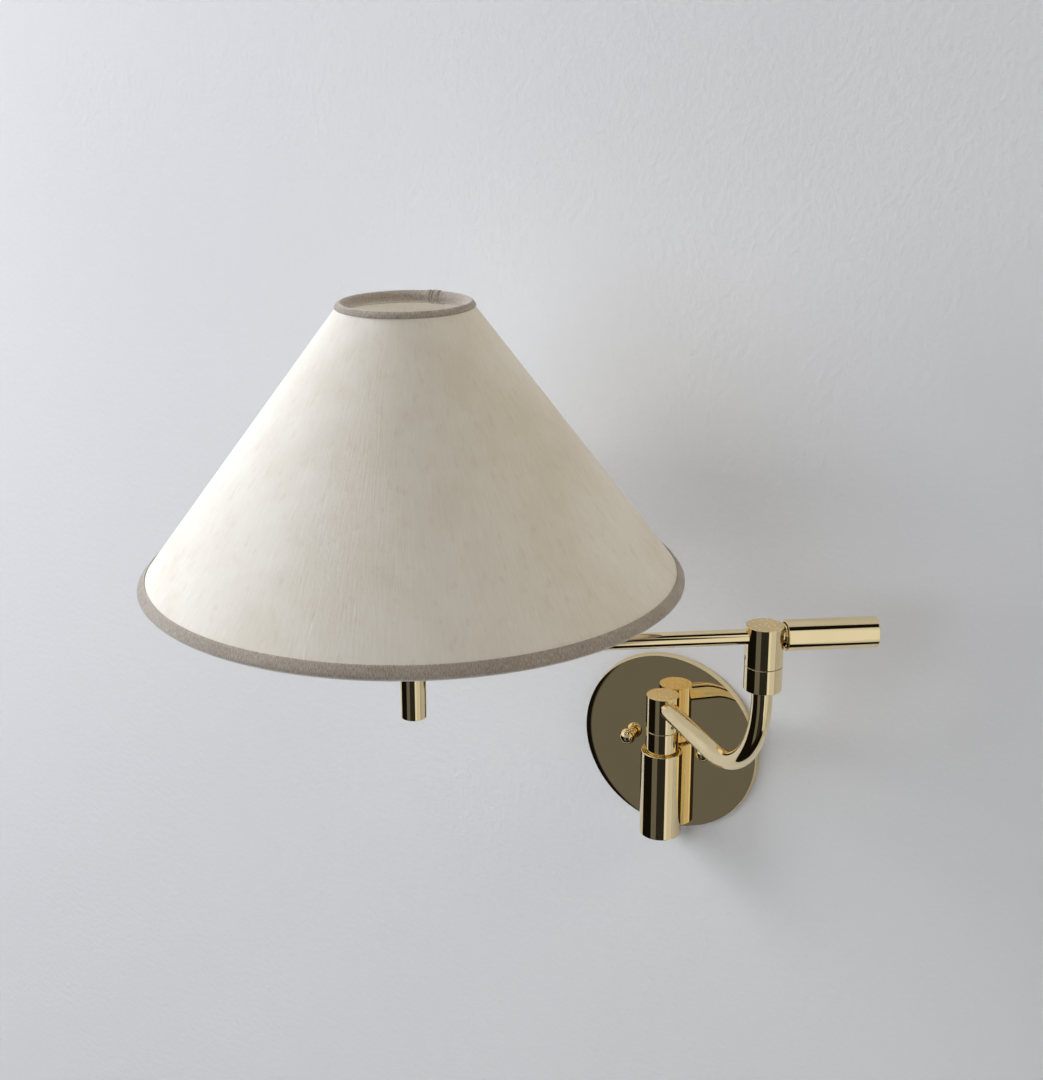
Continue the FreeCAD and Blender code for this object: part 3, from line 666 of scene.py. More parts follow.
# smooth the balls' normals exactly
for i, sx in enumerate((-1, 1)):
    ob = nuts[i]
    me = ob.data
    c = Vector((sx * NUT_X, NUT_Y, 0)) * MM
    cur = [tuple(x.vector) for x in me.corner_normals]
    for poly in me.polygons:
        for li in poly.loop_indices:
            v = me.vertices[me.loops[li].vertex_index].co
            d = v - c
            if abs(d.length - NUT_R * MM) < 2e-5:
                if all(abs((me.vertices[w].co - c).length - NUT_R * MM) < 2e-5 for w in poly.vertices):
                    cur[li] = tuple(d.normalized())
    me.normals_split_custom_set(cur)
done(nuts[0], "wall_bracket", ["ball_nuts"])
done(nuts[1], "wall_bracket", [])


def barrel_mesh():
    """Turned barrel with a milled flat: the profile is swept round and points behind the flat are moved onto it."""
    c = Vector((0, POST_Y, 0))
    prof = [(0, BZ0), (BARREL_R, BZ0, 0.7), (BARREL_R, BZ1, 0.55), (14.35, BZ1, 0.3), (14.15, BZ1 - 1.0, 0.15), (12.75, BZ1 - 1.0, 0.25),
            (12.6, BZ1 - 2.6, 0.1), (12.28, BZ1 - 2.6), (12.28, -11.9), (0, -11.9)]
    ob = lathe("barrel_body", prof, c, ZUP, BRASS, seg=192)
    # cut the flat with a box
    s = 40
    vs = [Vector((x, y, z)) * MM for x in (-s, s) for y in (PLATE_FACE_Y, 20) for z in (-80, 10)]
    fs = [(0, 1, 3, 2), (4, 6, 7, 5), (0, 4, 5, 1), (2, 3, 7, 6), (0, 2, 6, 4), (1, 5, 7, 3)]
    tool = new_obj("tool", vs, fs)
    mod = ob.modifiers.new("cut", "BOOLEAN")
    mod.operation = "DIFFERENCE"
    mod.solver = "EXACT"
    mod.object = tool
    dg = bpy.context.evaluated_depsgraph_get()
    me = bpy.data.meshes.new_from_object(ob.evaluated_get(dg))
    ob.modifiers.clear()
    ob.data = me
    bpy.data.objects.remove(tool)
    segs = json.loads(ob["prof"])
    flat = []
    for poly in me.polygons:
        fn = poly.normal
        cc = poly.center * 1000.0
        poly.use_smooth = True
        on_flat = abs(cc.y - PLATE_FACE_Y) < 0.02 and fn.y > 0.9
        best = None
        if not on_flat:
            rel = cc - c
            h = rel.z
            rad = Vector((rel.x, rel.y, 0))
            r = rad.length
            for sgm in segs:
                ax_, ay_, _, _, bx_, by_, _, _ = sgm
                dx, dy = bx_ - ax_, by_ - ay_
                L2 = dx * dx + dy * dy
                u = 0 if L2 < 1e-12 else max(0, min(1, ((r - ax_) * dx + (h - ay_) * dy) / L2))
                d = math.hypot(r - ax_ - dx * u, h - ay_ - dy * u)
                nx, ny = sgm[2] * (1 - u) + sgm[6] * u, sgm[3] * (1 - u) + sgm[7] * u
                nw = (rad / max(r, 1e-6)) * nx + ZUP * ny
                score = d + (0 if nw.dot(fn) > 0.85 else 5.0)
                if best is None or score < best[0]:
                    best = (score, sgm)
        for li in poly.loop_indices:
            v = me.vertices[me.loops[li].vertex_index].co * 1000.0
            if on_flat or best[0] > 1.0:
                flat.append(tuple(fn))
                continue
            rel = v - c
            h = rel.z
            rv = Vector((rel.x, rel.y, 0))
            r = rv.length
            ax_, ay_, n0x, n0y, bx_, by_, n1x, n1y = best[1]
            dx, dy = bx_ - ax_, by_ - ay_
            L2 = dx * dx + dy * dy
            u = 0 if L2 < 1e-12 else max(0, min(1, ((r - ax_) * dx + (h - ay_) * dy) / L2))
            nx, ny = n0x * (1 - u) + n1x * u, n0y * (1 - u) + n1y * u
            n = (rv / r) * nx + ZUP * ny if r > 1e-6 else ZUP * ny
            flat.append(tuple(n.normalized()))
    me.normals_split_custom_set(flat)
    me.update()
    return ob


done(barrel_mesh(), "wall_bracket", ["barrel"])


def hub_lower(name, c, z0, z1):
    return lathe(name, [(0, z0), (HUB_R, z0, 0.4), (HUB_R, z1, 0.28), (0, z1)], (c.x, c.y, 0), ZUP, BRASS, seg=160)


done(hub_lower("wall_hub_sleeve", P1, H1_BOT + 0.2, H1_SPLIT), "wall_bracket", ["fixed_sleeve"])


def hub_head(name, c, z_split, z_top, deg, arm=None):
    z0 = z_split + GAP
    ob = lathe(name, [(0, z0), (HUB_R, z0, 0.28), (HUB_R, z_top, 0.32), (0, z_top)], (c.x, c.y, 0), ZUP, BRASS, seg=160)
    zs = z0 + 5.2
    d = unit(deg)
    cut_hole(ob, Vector((c.x, c.y, zs)) + d * HUB_R, d, 1.55, 6.6, (c.x, c.y, 0), ZUP)
    # satin top face
    ob.data.materials.append(BRASS_SATIN)
    for poly in ob.data.polygons:
        cc = poly.center * 1000.0
        if abs(cc.z - z_top) < 0.02 and poly.normal.z > 0.99:
            poly.material_index = 1
    return ob


done(hub_head("wall_hub_head", P1, H1_SPLIT, H1_TOP, ARM1_DEG + 13.0), "first_arm", ["swivel_head_1"])
done(hub_lower("elbow_hub_sleeve", P2, H2_BOT, H2_SPLIT), "first_arm", ["elbow_sleeve"])
done(hub_head("elbow_hub_head", P2, H2_SPLIT, H2_TOP, ARM2_DEG), "second_arm", ["swivel_head_2"])


# ------------------------------------------------------------------ first arm
def arm1():
    path, tang = [], []

    def add(p, t):
        path.append(p)
        tang.append(t)
    z = Vector((0, 0, ARM1_Z))
    for s in (6.6, 20, 40, 60):
        add(P1 + U1 * s + z, U1.copy())
    n = 64
    cen = P1 + U1 * (ARM1_L - BEND_R) + Vector((0, 0, ARM1_Z + BEND_R))
    for i in range(n + 1):
        a = (math.pi / 2) * i / n
        add(cen + U1 * (BEND_R * math.sin(a)) - ZUP * (BEND_R * math.cos(a)), U1 * math.cos(a) + ZUP * math.sin(a))
    add(P1 + U1 * ARM1_L + Vector((0, 0, H2_BOT + 5.4)), ZUP.copy())
    return sweep("first_arm_tube", path, tang, ARM1_R, BRASS, seg=96)


done(arm1(), "first_arm", ["j_arm"])

# ------------------------------------------------------------------ second arm, knob, stem
o2 = Vector((P2.x, P2.y, ARM2_Z))
a2len = ARM2_L - 7.1
done(lathe("second_arm_tube", [(0, 6.6), (ARM2_R, 6.6), (ARM2_R, a2len), (0, a2len)], o2, U2, BRASS, seg=96), "second_arm", ["arm_tube_2"])
done(lathe("knob_neck", [(0, 6.6), (ARM2_R, 6.6), (ARM2_R, 12.3), (7.2, 12.3, 0.15), (7.6, 12.8, 0.1), (7.6, 19.0), (0, 19.0)],
           o2, W2, BRASS, seg=120), "second_arm", ["knob_bushing"])
done(lathe("end_cylinder", [(8.5, KNOB_S0, 0.2), (KNOB_R, KNOB_S0, 0.4), (KNOB_R, KNOB_S1, 0.8), (0, KNOB_S1), (0, 60.4), (3.05, 60.4), (3.05, 51.0), (8.5, 51.0)],
           o2, W2, BRASS, seg=160), "dimmer_knob", ["end_knob"])
c3 = Vector((P3.x, P3.y, 0))
done(lathe("lamp_stem", [(STEM_IN, STEM_Z0, 0.1), (STEM_R, STEM_Z0, 0.35), (STEM_R, STEM_Z1, 0.3), (5.0, STEM_Z1), (5.0, STEM_Z1 - 3.0), (STEM_IN, STEM_Z1 - 3.0)],
           c3, ZUP, BRASS, seg=128), "second_arm", ["stem"])
done(lathe("stem_end_plug", [(0, STEM_Z0 + 0.1), (STEM_IN - 0.05, STEM_Z0 + 0.1, 0.2), (STEM_IN - 0.05, STEM_Z0 + 4.0), (0, STEM_Z0 + 4.0)], c3, ZUP, BRASS, seg=96),
     "second_arm", ["stem_plug"])
done(lathe("holder_cup", [(5.0, 168.0), (15.5, 168.0, 2.0), (18.6, 169.0, 1.2), (19.6, 171.5, 1.5), (19.6, 186.0, 0.4), (18.6, 186.0, 0.4), (18.6, 172.0, 1.2), (17.9, 170.2, 1.0),
                         (15.2, 169.2, 1.0), (5.0, 169.2)], c3, ZUP, BRASS, seg=144), "second_arm", ["socket_cup"])


def ribbed_holder():
    prof = [(6.0, 173.0), (17.4, 173.0, 0.4), (17.4, 204.0, 0.2), (22.0, 204.0, 0.5), (22.0, 206.0, 0.4), (19.2, 206.0)]
    z = 206.8
    while z < 215.6:
        prof += [(19.2, z), (19.6, z + 0.55), (19.6, z + 0.75), (19.2, z + 1.3)]
        z += 1.6
    prof += [(19.2, 216.5), (18.7, 217.2, 0.3), (13.7, 217.2, 0.3), (13.7, 194.0), (6.0, 194.0)]
    return lathe("holder_body", prof, c3, ZUP, BLACK, seg=128)


done(ribbed_holder(), "second_arm", ["lamp_holder"])

ringnut_pts = []
ob = lathe("shade_ring", [(19.7, 207.6), (24.0, 207.6, 0.5), (24.0, 212.9, 0.7), (19.7, 213.3, 0.3)], c3, ZUP, BLACK, seg=192)
# knurl: every third pair of points is drawn in
me = ob.data
for v in me.vertices:
    p = v.co * 1000.0 - c3
    r = math.hypot(p.x, p.y)
    if r > 22.5:
        a = math.atan2(p.y, p.x)
        k = 0.5 + 0.5 * math.cos(a * 32)
        d = 0.45 * (k ** 3)
        f = (r - d) / r
        v.co.x = (c3.x + p.x * f) * MM
        v.co.y = (c3.y + p.y * f) * MM
me.update()
done(ob, "second_arm", ["shade_ring_nut"])


# ------------------------------------------------------------------ shade
br, bz = SHADE_B
tr, tz = SHADE_T
SL = math.hypot(tr - br, tz - bz)
dr, dz = (tr - br) / SL, (tz - bz) / SL
nr, nz = dz, -dr


def sp(off, s):
    return (br + dr * s + nr * off, bz + dz * s + nz * off)


def revolve_uv(name, loop, mat, seg, seam_deg=0.0, wobble=None, closed=True, sharp=40):
    """Ring made from a closed section in (off, s), with a UV map in metres: u round, v along the section."""
    n = len(loop)
    verts, faces, uvs = [], [], []
    lens = [0.0]
    for i in range(n):
        p, q = loop[i], loop[(i + 1) % n]
        lens.append(lens[-1] + math.hypot(q[0] - p[0], q[1] - p[1]))
    for k in range(seg):
        a = math.radians(seam_deg) + 2 * math.pi * k / seg
        for i, (o, s) in enumerate(loop):
            if wobble:
                o, s = wobble(a, i, o, s)
            r, z = sp(o, s)
            verts.append((c3 + Vector((r * math.cos(a), r * math.sin(a), z))) * MM)
    rm = 0.5 * (sp(*loop[0])[0] + sp(*loop[n // 2])[0])
    for k in range(seg):
        k2 = (k + 1) % seg
        for i in range(n):
            i2 = (i + 1) % n
            faces.append((k * n + i, k2 * n + i, k2 * n + i2, k * n + i2))
            u0, u1 = 2 * math.pi * rm * k / seg * MM, 2 * math.pi * rm * (k + 1) / seg * MM
            v0, v1 = lens[i] * MM, lens[i + 1] * MM
            uvs.append(((u0, v0), (u1, v0), (u1, v1), (u0, v1)))
    me = bpy.data.meshes.new(name)
    me.from_pydata([tuple(v) for v in verts], [], faces)
    lay = me.uv_layers.new(name="slope")
    li = 0
    for q in uvs:
        for c in q:
            lay.data[li].uv = c
            li += 1
    for poly in me.polygons:
        poly.use_smooth = True
    me.update()
    # outward
    bm = bmesh.new()
    bm.from_mesh(me)
    bmesh.ops.recalc_face_normals(bm, faces=bm.faces)
    for e in bm.edges:
        if len(e.link_faces) == 2:
            e.smooth = e.calc_face_angle(0) < math.radians(sharp)
    bm.to_mesh(me)
    bm.free()
    ob = bpy.data.objects.new(name, me)
    COL.objects.link(ob)
    me.materials.append(mat)
    return ob


# skin
skin_loop = []
S0, S1 = TAPE_T + 0.3, SL - TAPE_T - 0.3
m_ = 30
for i in range(m_ + 1):
    skin_loop.append((-SKIN_OFF, S0 + (S1 - S0) * i / m_))
for i in range(m_ + 1):
    skin_loop.append((-SKIN_OFF - SKIN_T, S1 - (S1 - S0) * i / m_))
rng = random.Random(4)
ph = [rng.uniform(0, 6.28) for _ in range(12)]


def skin_wobble(a, i, o, s):
    """The sheet is not perfectly round: shallow waves of a few tenths of a millimetre."""
    t = s / SL
    e = math.sin(math.pi * t) ** 1.0
    w = 0.10 * math.sin(5 * a + ph[0] + 2.0 * t) + 0.07 * math.sin(9 * a + ph[1] - 3.0 * t) + 0.05 * math.sin(14 * a + ph[2] + 5 * t)
    return o - 0.10 + 0.5 * w * e, s


skin = revolve_uv("shade_cone", skin_loop, SHADE, 512, wobble=skin_wobble)
done(skin, "second_arm", ["shade_skin"])


def tape_loop(flip):
    """Section of the folded tape, rounded and a little puffed."""
    # outer leg bulges, bottom fold is round, inner leg follows the wire ring
    q = []
    w = TAPE_W if not flip else 5.0
    q += [(-TAPE_T - 0.12, w - 0.05), (-0.62, w), (-0.28, w - 0.35), (-0.08, w - 1.2), (-0.0, w * 0.62), (-0.0, w * 0.42), (-0.06, 1.9), (-0.25, 1.05),
          (-0.75, 0.42), (-1.5, 0.12), (-2.6, 0.02), (-3.8, 0.02), (-4.9, 0.15), (-5.7, 0.5), (-6.25, 1.1), (-6.48, 2.0), (-6.5, 3.2), (-6.3, 4.4), (-5.7, 5.6), (-4.7, 6.8), (-3.7, 7.7),
          (-3.22, 8.5), (-3.15, 9.3), (-2.9, 9.6), (-2.35, 9.6), (-2.3, 9.0), (-2.32, 7.7), (-3.4, 6.8), (-4.6, 5.8), (-5.3, 4.9), (-5.6, 3.8), (-5.6, 1.2), (-5.2, 0.92), (-3.0, 0.9), (-1.2, 0.92),
          (-0.92, 1.2), (-0.9, 4.0)]
    return [(o, SL - s if flip else s) for o, s in q]


def tape_piece(name, flip, ribs, seam):
    loop = tape_loop(flip)
    n_out = 24
    r_mid = tr + 2 if flip else br
    per = 6
    seg = ribs * per
    rn = random.Random(11 if flip else 12)
    amp = [rn.uniform(0.6, 1.4) for _ in range(ribs)]
    tw = [rn.uniform(-0.25, 0.25) for _ in range(ribs)]

    def wob(a, i, o, s):
        if i >= n_out:
            return o, s
        k = ((a - math.radians(seam)) / (2 * math.pi)) % 1.0 * ribs
        kk = int(k) % ribs
        f = k - int(k)
        sl = (SL - s) if flip else s
        # ribs run across the tape with a slight slant
        x = f + tw[kk] * 0.2
        h = 0.5 - 0.5 * math.cos(2 * math.pi * x)
        d = 0.11 * amp[kk] * h
        lo = 0.05 * math.sin(7 * a + 1.3) + 0.04 * math.sin(17 * a + 0.4)
        if flip:
            # overlap of the two tape ends, with pleats
            da = (math.degrees(a) - SEAM_MID + 180.0) % 360.0 - 180.0
            if abs(da) < 10.0:
                e = 0.75 * max(0.0, min(1.0, (7.4 - abs(da)) / 0.8))
                for c_, w_, g_ in ((6.2, 0.5, 0.5), (1.6, 0.6, 0.85), (-1.0, 0.45, 0.6), (-5.6, 0.5, 0.45)):
                    e -= g_ * math.exp(-((da - c_) / w_) ** 2)
                d -= e
        # push inwards along the section's own normal, roughly
        if i <= 7:
            return o - 0.02 - d * 0.9 - abs(lo) * 0.3, s
        if i <= 13:
            return o, s + (-(d * 0.8) if flip else d * 0.8)
        return o + d * 0.9, s
    return revolve_uv(name, loop, TAPE, seg, seam_deg=seam, wobble=wob, sharp=70)


SEAM_TOP = 95.0
SEAM_MID = 95.0                         # overlap of the tape ends on the top ring
bt = tape_piece("bottom_binding", False, 880, -200.0)
done(bt, "second_arm", ["bottom_tape"])
tt = tape_piece("top_binding", True, 230, SEAM_TOP)
done(tt, "second_arm", ["top_tape"])

# wire rings and spider keep the CAD shapes
for n in ("bottom_wire_ring", "top_wire_ring", "shade_spider"):
    set_mat(n, WIRE)
for n in ("mounting_strap", "strap_studs", "barrel_screws", "stop_pin_1", "stop_pin_2", "grub_screw_1", "grub_screw_2", "pivot_1", "pivot_2", "nipple", "nipple_nuts",
          "screw_shell", "dimmer_shaft"):
    set_mat(n, STEEL)
set_mat("centre_contact", BRASS)
for n in ("friction_washer_1", "friction_washer_2"):
    set_mat(n, NYLON)
for n in ("lead_1", "lead_2", "lead_3"):
    set_mat(n, SHEATH)
set_mat("dimmer_body", BLACK)
for n in ("bottom_wire_ring", "top_wire_ring", "shade_spider", "strap_studs", "mounting_strap", "barrel_screws", "friction_washer_1", "friction_washer_2", "pivot_1", "pivot_2",
          "nipple", "nipple_nuts", "screw_shell", "lead_1", "lead_2", "lead_3"):
    for p in NODES[n].data.polygons:
        pass

# ------------------------------------------------------------------ bulb
bp = [(0, 224.9), (13.4, 224.9)]
for r, z in ((13.5, 227.0), (13.9, 231.0), (14.9, 236.0), (16.6, 241.5), (19.2, 247.5)):
    bp.append((r, z))
tang = math.radians(-40)
for i in range(0, 25):
    t = tang + (math.pi / 2 - tang) * i / 24
    bp.append((max(29.9 * math.cos(t), 0.0), 275.0 + 29.9 * math.sin(t)))
bulb = lathe("bulb_envelope", bp, c3, ZUP, GLASS, seg=128)
me = bulb.data
me.normals_split_custom_set([(0, 0, 0)] * len(me.loops))
done(bulb, "second_arm", ["bulb_glass"])
cap = [(0, 196.6), (4.2, 196.6, 0.4), (5.2, 197.4, 0.3), (11.4, 200.4, 0.4), (12.6, 201.4, 0.3)]
z = 202.0
while z < 219.0:
    cap += [(12.45, z), (13.05, z + 0.9), (13.05, z + 1.3), (12.45, z + 2.2)]
    z += 2.6
cap += [(12.9, 221.0, 0.3), (13.9, 224.5, 0.2), (0, 224.5)]
done(lathe("bulb_cap", cap, c3, ZUP, STEEL, seg=96), "second_arm", ["bulb_base"])

# ------------------------------------------------------------------ stage
def stage_plane(name, c, ax_u, ax_v, su, sv, mat, n=1):
    u, v = Vector(ax_u), Vector(ax_v)
    vs = [c - u * su - v * sv, c + u * su - v * sv, c + u * su + v * sv, c - u * su + v * sv]
    ob = new_obj(name, vs, [(0, 1, 2, 3)], mat)
    return ob


def one_sided(name, build):
    m, nt, bs = mat_new(name)
    build(nt, bs)
    out = nt.nodes["Material Output"]
    geo = node(nt, "ShaderNodeNewGeometry")
    tr_ = node(nt, "ShaderNodeBsdfTransparent")
    mixs = node(nt, "ShaderNodeMixShader")
    nt.links.new(geo.outputs["Backfacing"], mixs.inputs["Fac"])
    nt.links.new(bs.outputs["BSDF"], mixs.inputs[1])
    nt.links.new(tr_.outputs["BSDF"], mixs.inputs[2])
    nt.links.new(mixs.outputs["Shader"], out.inputs["Surface"])
    return m


def wall_build(nt, bs):
    tc = node(nt, "ShaderNodeTexCoord")
    n1 = node(nt, "ShaderNodeTexNoise")
    n1.inputs["Scale"].default_value = 2.2
    n1.inputs["Detail"].default_value = 3.0
    nt.links.new(tc.outputs["Object"], n1.inputs["Vector"])
    cr = ramp(nt, n1.outputs["Fac"], [(0.3, (0.800, 0.800, 0.806)), (0.7, (0.815, 0.815, 0.818))])
    nt.links.new(cr.outputs["Color"], bs.inputs["Base Color"])
    bs.inputs["Roughness"].default_value = 0.85
    bs.inputs["Specular IOR Level"].default_value = 0.15
    n2 = node(nt, "ShaderNodeTexNoise")
    n2.inputs["Scale"].default_value = 210.0
    n2.inputs["Detail"].default_value = 3.0
    nt.links.new(tc.outputs["Object"], n2.inputs["Vector"])
    b = node(nt, "ShaderNodeBump")
    b.inputs["Strength"].default_value = 0.55
    b.inputs["Distance"].default_value = 0.0006
    nt.links.new(n2.outputs["Fac"], b.inputs["Height"])
    nt.links.new(b.outputs["Normal"], bs.inputs["Normal"])


def floor_build(nt, bs):
    tc = node(nt, "ShaderNodeTexCoord")
    n1 = node(nt, "ShaderNodeTexNoise")
    n1.inputs["Scale"].default_value = 3.0
    nt.links.new(tc.outputs["Object"], n1.inputs["Vector"])
    cr = ramp(nt, n1.outputs["Fac"], [(0.3, (0.70, 0.70, 0.70)), (0.7, (0.72, 0.72, 0.715))])
    nt.links.new(cr.outputs["Color"], bs.inputs["Base Color"])
    bs.inputs["Roughness"].default_value = 0.8


WALLM = one_sided("stage_wall", wall_build)
FLOORM = one_sided("stage_floor", floor_build)
wall = stage_plane("stage_wall", Vector((0, 0.0004, 0.7)), (1, 0, 0), (0, 0, 1), 3.2, 2.4, WALLM)
floor = stage_plane("stage_floor", Vector((0, -3.0, -1.6)), (1, 0, 0), (0, 1, 0), 4.0, 3.0, FLOORM)
floor.visible_glossy = False

# ------------------------------------------------------------------ world
W = bpy.data.worlds.new("studio")
bpy.context.scene.world = W
W.use_nodes = True
nt = W.node_tree
nt.nodes.clear()
L = nt.links
out = node(nt, "ShaderNodeOutputWorld")
tc = node(nt, "ShaderNodeTexCoord")
sx = node(nt, "ShaderNodeSeparateXYZ")
L.new(tc.outputs["Generated"], sx.inputs["Vector"])
az = node(nt, "ShaderNodeMath", operation="ARCTAN2")
L.new(sx.outputs["Y"], az.inputs[0])
L.new(sx.outputs["X"], az.inputs[1])
azd = node(nt, "ShaderNodeMath", operation="DEGREES")
L.new(az.outputs["Value"], azd.inputs[0])
el = node(nt, "ShaderNodeMath", operation="ARCSINE")
L.new(sx.outputs["Z"], el.inputs[0])
eld = node(nt, "ShaderNodeMath", operation="DEGREES")
L.new(el.outputs["Value"], eld.inputs[0])


def band(src, lo, hi, soft, wrap=False):
    """1 between lo and hi, with soft edges."""
    mid, half = 0.5 * (lo + hi), 0.5 * (hi - lo)
    s = node(nt, "ShaderNodeMath", operation="SUBTRACT")
    L.new(src, s.inputs[0])
    s.inputs[1].default_value = mid
    last = s.outputs["Value"]
    if wrap:
        w = node(nt, "ShaderNodeMath", operation="WRAP")
        w.inputs[1].default_value = 180.0
        w.inputs[2].default_value = -180.0
        L.new(last, w.inputs[0])
        last = w.outputs["Value"]
    a = node(nt, "ShaderNodeMath", operation="ABSOLUTE")
    L.new(last, a.inputs[0])
    mr = node(nt, "ShaderNodeMapRange", interpolation_type="SMOOTHSTEP")
    mr.inputs["From Min"].default_value = half + soft * 0.5
    mr.inputs["From Max"].default_value = half - soft * 0.5
    L.new(a.outputs["Value"], mr.inputs["Value"])
    return mr.outputs["Result"]


def patch(az0, az1, el0, el1, soft_a, soft_e, val, col=(1, 1, 1)):
    m = node(nt, "ShaderNodeMath", operation="MULTIPLY")
    L.new(band(azd.outputs["Value"], az0, az1, soft_a, True), m.inputs[0])
    L.new(band(eld.outputs["Value"], el0, el1, soft_e), m.inputs[1])
    v = node(nt, "ShaderNodeVectorMath", operation="SCALE")
    v.inputs[0].default_value = tuple(c * val for c in col)
    L.new(m.outputs["Value"], v.inputs["Scale"])
    return v.outputs["Vector"]




def scaled(fac, val, col=(1, 1, 1)):
    v = node(nt, "ShaderNodeVectorMath", operation="SCALE")
    v.inputs[0].default_value = tuple(c * val for c in col)
    L.new(fac, v.inputs["Scale"])
    return v.outputs["Vector"]


def edge(src, at, soft, rising=True):
    """0 to 1 as src passes at; at is a number or another output."""
    d = node(nt, "ShaderNodeMath", operation="SUBTRACT")
    L.new(src, d.inputs[0])
    if isinstance(at, (int, float)):
        d.inputs[1].default_value = at
    else:
        L.new(at, d.inputs[1])
    mr = node(nt, "ShaderNodeMapRange", interpolation_type="SMOOTHSTEP")
    mr.inputs["From Min"].default_value = -soft * 0.5 if rising else soft * 0.5
    mr.inputs["From Max"].default_value = soft * 0.5 if rising else -soft * 0.5
    L.new(d.outputs["Value"], mr.inputs["Value"])
    return mr.outputs["Result"]


def line(src, x0, x1, y0, y1):
    mr = node(nt, "ShaderNodeMapRange")
    mr.inputs["From Min"].default_value = x0
    mr.inputs["From Max"].default_value = x1
    mr.inputs["To Min"].default_value = y0
    mr.inputs["To Max"].default_value = y1
    L.new(src, mr.inputs["Value"])
    return mr.outputs["Result"]


def times(*fs):
    last = fs[0]
    for q in fs[1:]:
        m = node(nt, "ShaderNodeMath", operation="MULTIPLY")
        L.new(last, m.inputs[0])
        L.new(q, m.inputs[1])
        last = m.outputs["Value"]
    return last


AZ, EL = azd.outputs["Value"], eld.outputs["Value"]
# the tall soft panel on the right: its foot slopes, its far upper edge is drawn in
panel = times(edge(AZ, line(EL, 9.0, 18.0, -44.5, -39.5), 3.0), edge(AZ, 20.0, 8.0, False), edge(EL, 48.5, 4.0, False), edge(EL, line(AZ, -45.0, -25.0, -36.0, -53.5), 4.0))
near = edge(AZ, -31.0, 6.0, False)
patches = [
    scaled(panel, 0.60, (1.0, 0.995, 0.97)),
    scaled(times(panel, near), 0.18, (1.0, 1.0, 0.99)),
    patch(-119.5, -89.5, -64, 3, 2.5, 8, 0.125, (1.0, 0.985, 0.96)),     # dim floor side seen in the plate
    patch(-87.0, -47.0, -64, 3, 3, 8, 0.018),
    patch(-186.0, -122.0, 1, 50, 10, 7, 0.95, (0.98, 0.99, 1.0)),          # big soft panel, upper left
    patch(-122.0, -95.0, 1, 50, 10, 7, 0.50),
    patch(-95.0, -46.0, 1, 50, 8, 7, 0.34),
    patch(-186.0, -58.0, 50, 74, 8, 6, 0.36),
    patch(-180, 180, 78, 100, 1, 6, 0.45),
    patch(10.0, 170.0, -80, 80, 20, 15, 0.40),                          # pale room behind, for the back of the plate
]
acc = None
for p in patches:
    if acc is None:
        acc = p
    else:
        ad = node(nt, "ShaderNodeVectorMath", operation="ADD")
        L.new(acc, ad.inputs[0])
        L.new(p, ad.inputs[1])
        acc = ad.outputs["Vector"]
base = node(nt, "ShaderNodeVectorMath", operation="ADD")
L.new(acc, base.inputs[0])
base.inputs[1].default_value = (0.006, 0.005, 0.004)
bg_g = node(nt, "ShaderNodeBackground")
L.new(base.outputs["Vector"], bg_g.inputs["Color"])
bg_c = node(nt, "ShaderNodeBackground")
bg_c.inputs["Color"].default_value = (0.66, 0.66, 0.67, 1)
bg_d = node(nt, "ShaderNodeBackground")
bg_d.inputs["Color"].default_value = (0.98, 0.99, 1.0, 1)
bg_d.inputs["Strength"].default_value = 0.03
lp = node(nt, "ShaderNodeLightPath")
m1 = node(nt, "ShaderNodeMixShader")
L.new(lp.outputs["Is Glossy Ray"], m1.inputs["Fac"])
L.new(bg_d.outputs["Background"], m1.inputs[1])
L.new(bg_g.outputs["Background"], m1.inputs[2])
m2 = node(nt, "ShaderNodeMixShader")
L.new(lp.outputs["Is Camera Ray"], m2.inputs["Fac"])
L.new(m1.outputs["Shader"], m2.inputs[1])
L.new(bg_c.outputs["Background"], m2.inputs[2])
L.new(m2.outputs["Shader"], out.inputs["Surface"])


# ------------------------------------------------------------------ lights
def area(name, az_deg, el_deg, dist, size, power, col=(1, 1, 1), target=(-0.05, -0.15, 0.2), glossy=False):
    ld = bpy.data.lights.new(name, "AREA")
    ld.shape = "DISK"
    ld.size = size
    ld.energy = power
    ld.color = col
    ob = bpy.data.objects.new(name, ld)
    COL.objects.link(ob)
    t = Vector(target)
    d = Vector((math.cos(math.radians(az_deg)) * math.cos(math.radians(el_deg)), math.sin(math.radians(az_deg)) * math.cos(math.radians(el_deg)), math.sin(math.radians(el_deg))))
    ob.location = t + d * dist
    ob.rotation_euler = (-d).to_track_quat("-Z", "Y").to_euler()
    ob.visible_glossy = glossy
    return ob


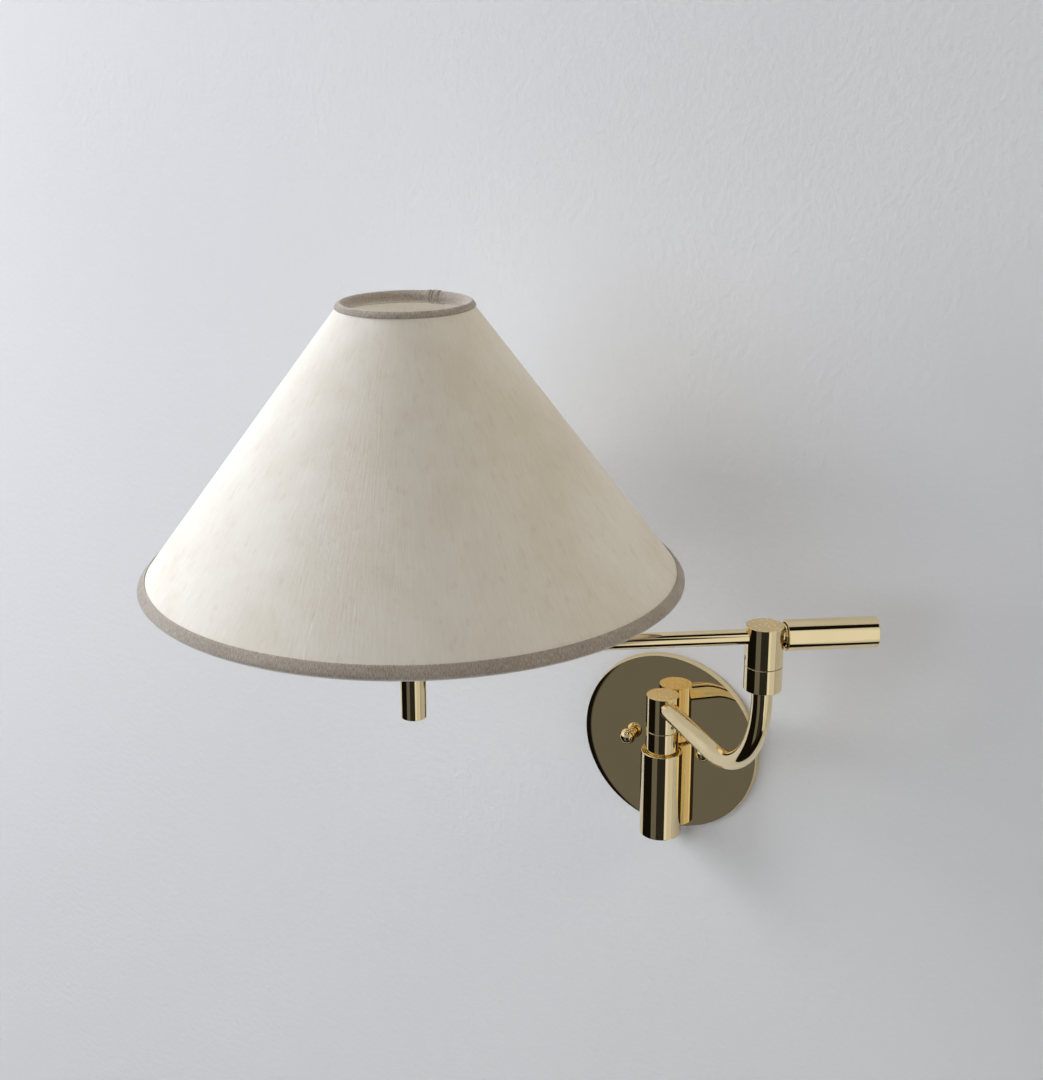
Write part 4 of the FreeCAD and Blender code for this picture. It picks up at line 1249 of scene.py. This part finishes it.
for name, a_, e_, dist, size, watt, rgb in (
    ("front_soft", -105, 15, 2.3, 1.4, 50.0, (0.224, 0.238, 0.272)),
    ("left_low", -140, 5, 2.3, 1.0, 50.0, (0.185, 0.185, 0.176)),
    ("right_low", -30, -20, 2.3, 1.2, 50.0, (0.085, 0.083, 0.078)),
    ("left_key", -165, 25, 2.3, 1.0, 50.0, (0.357, 0.366, 0.440)),
    ("left_side", -165, 15, 4.0, 2.0, 150.0, (0.237, 0.265, 0.240)),
    ("left_sky", -172, 35, 4.0, 2.0, 150.0, (0.450, 0.435, 0.451)),
    ("right_fill", -8, 40, 3.0, 1.2, 80.0, (0.345, 0.305, 0.240)),
):
    top = max(rgb)
    area(name, a_, e_, dist, size, watt * top, tuple(c / top for c in rgb))

# soft beam from below, into the open bottom of the shade
bm_ = area("floor_bounce", -90, -88, 1.6, 0.3, 0.095, (1.0, 0.96, 0.90), target=(-0.0735, -0.2487, 0.25))
bm_.data.spread = math.radians(14.0)

# ------------------------------------------------------------------ camera
yaw, pitch, roll, f = 0.5614, 0.2744, -0.0214, 1577.9
C = Vector((0.42205, -1.03394, 0.52119))
ppx, ppy = -110.5, -63.1
cy_, sy_, cp_, sp_ = math.cos(yaw), math.sin(yaw), math.cos(pitch), math.sin(pitch)
Fv = Vector((-sy_ * cp_, cy_ * cp_, -sp_))
Rv = Vector((cy_, sy_, 0))
Uv = Rv.cross(Fv)
R2 = Rv * math.cos(roll) + Uv * math.sin(roll)
U2v = -Rv * math.sin(roll) + Uv * math.cos(roll)
cam = bpy.data.cameras.new("camera")
cam.sensor_fit = "AUTO"
cam.sensor_width = 36.0
cam.lens = f * 36.0 / 1080.0
cam.shift_x = -ppx / 1080.0
cam.shift_y = ppy / 1080.0
cam.clip_start = 0.02
cam.clip_end = 30.0
co = bpy.data.objects.new("camera", cam)
M = Matrix((R2, U2v, -Fv)).transposed().to_4x4()
M.translation = C
co.matrix_world = M
COL.objects.link(co)
bpy.context.scene.camera = co

sc = bpy.context.scene
sc.view_settings.view_transform = "Standard"
sc.view_settings.look = "None"
sc.view_settings.exposure = 0.0
sc.view_settings.gamma = 1.0

for o in bpy.data.objects:
    if "prof" in o:
        del o["prof"]
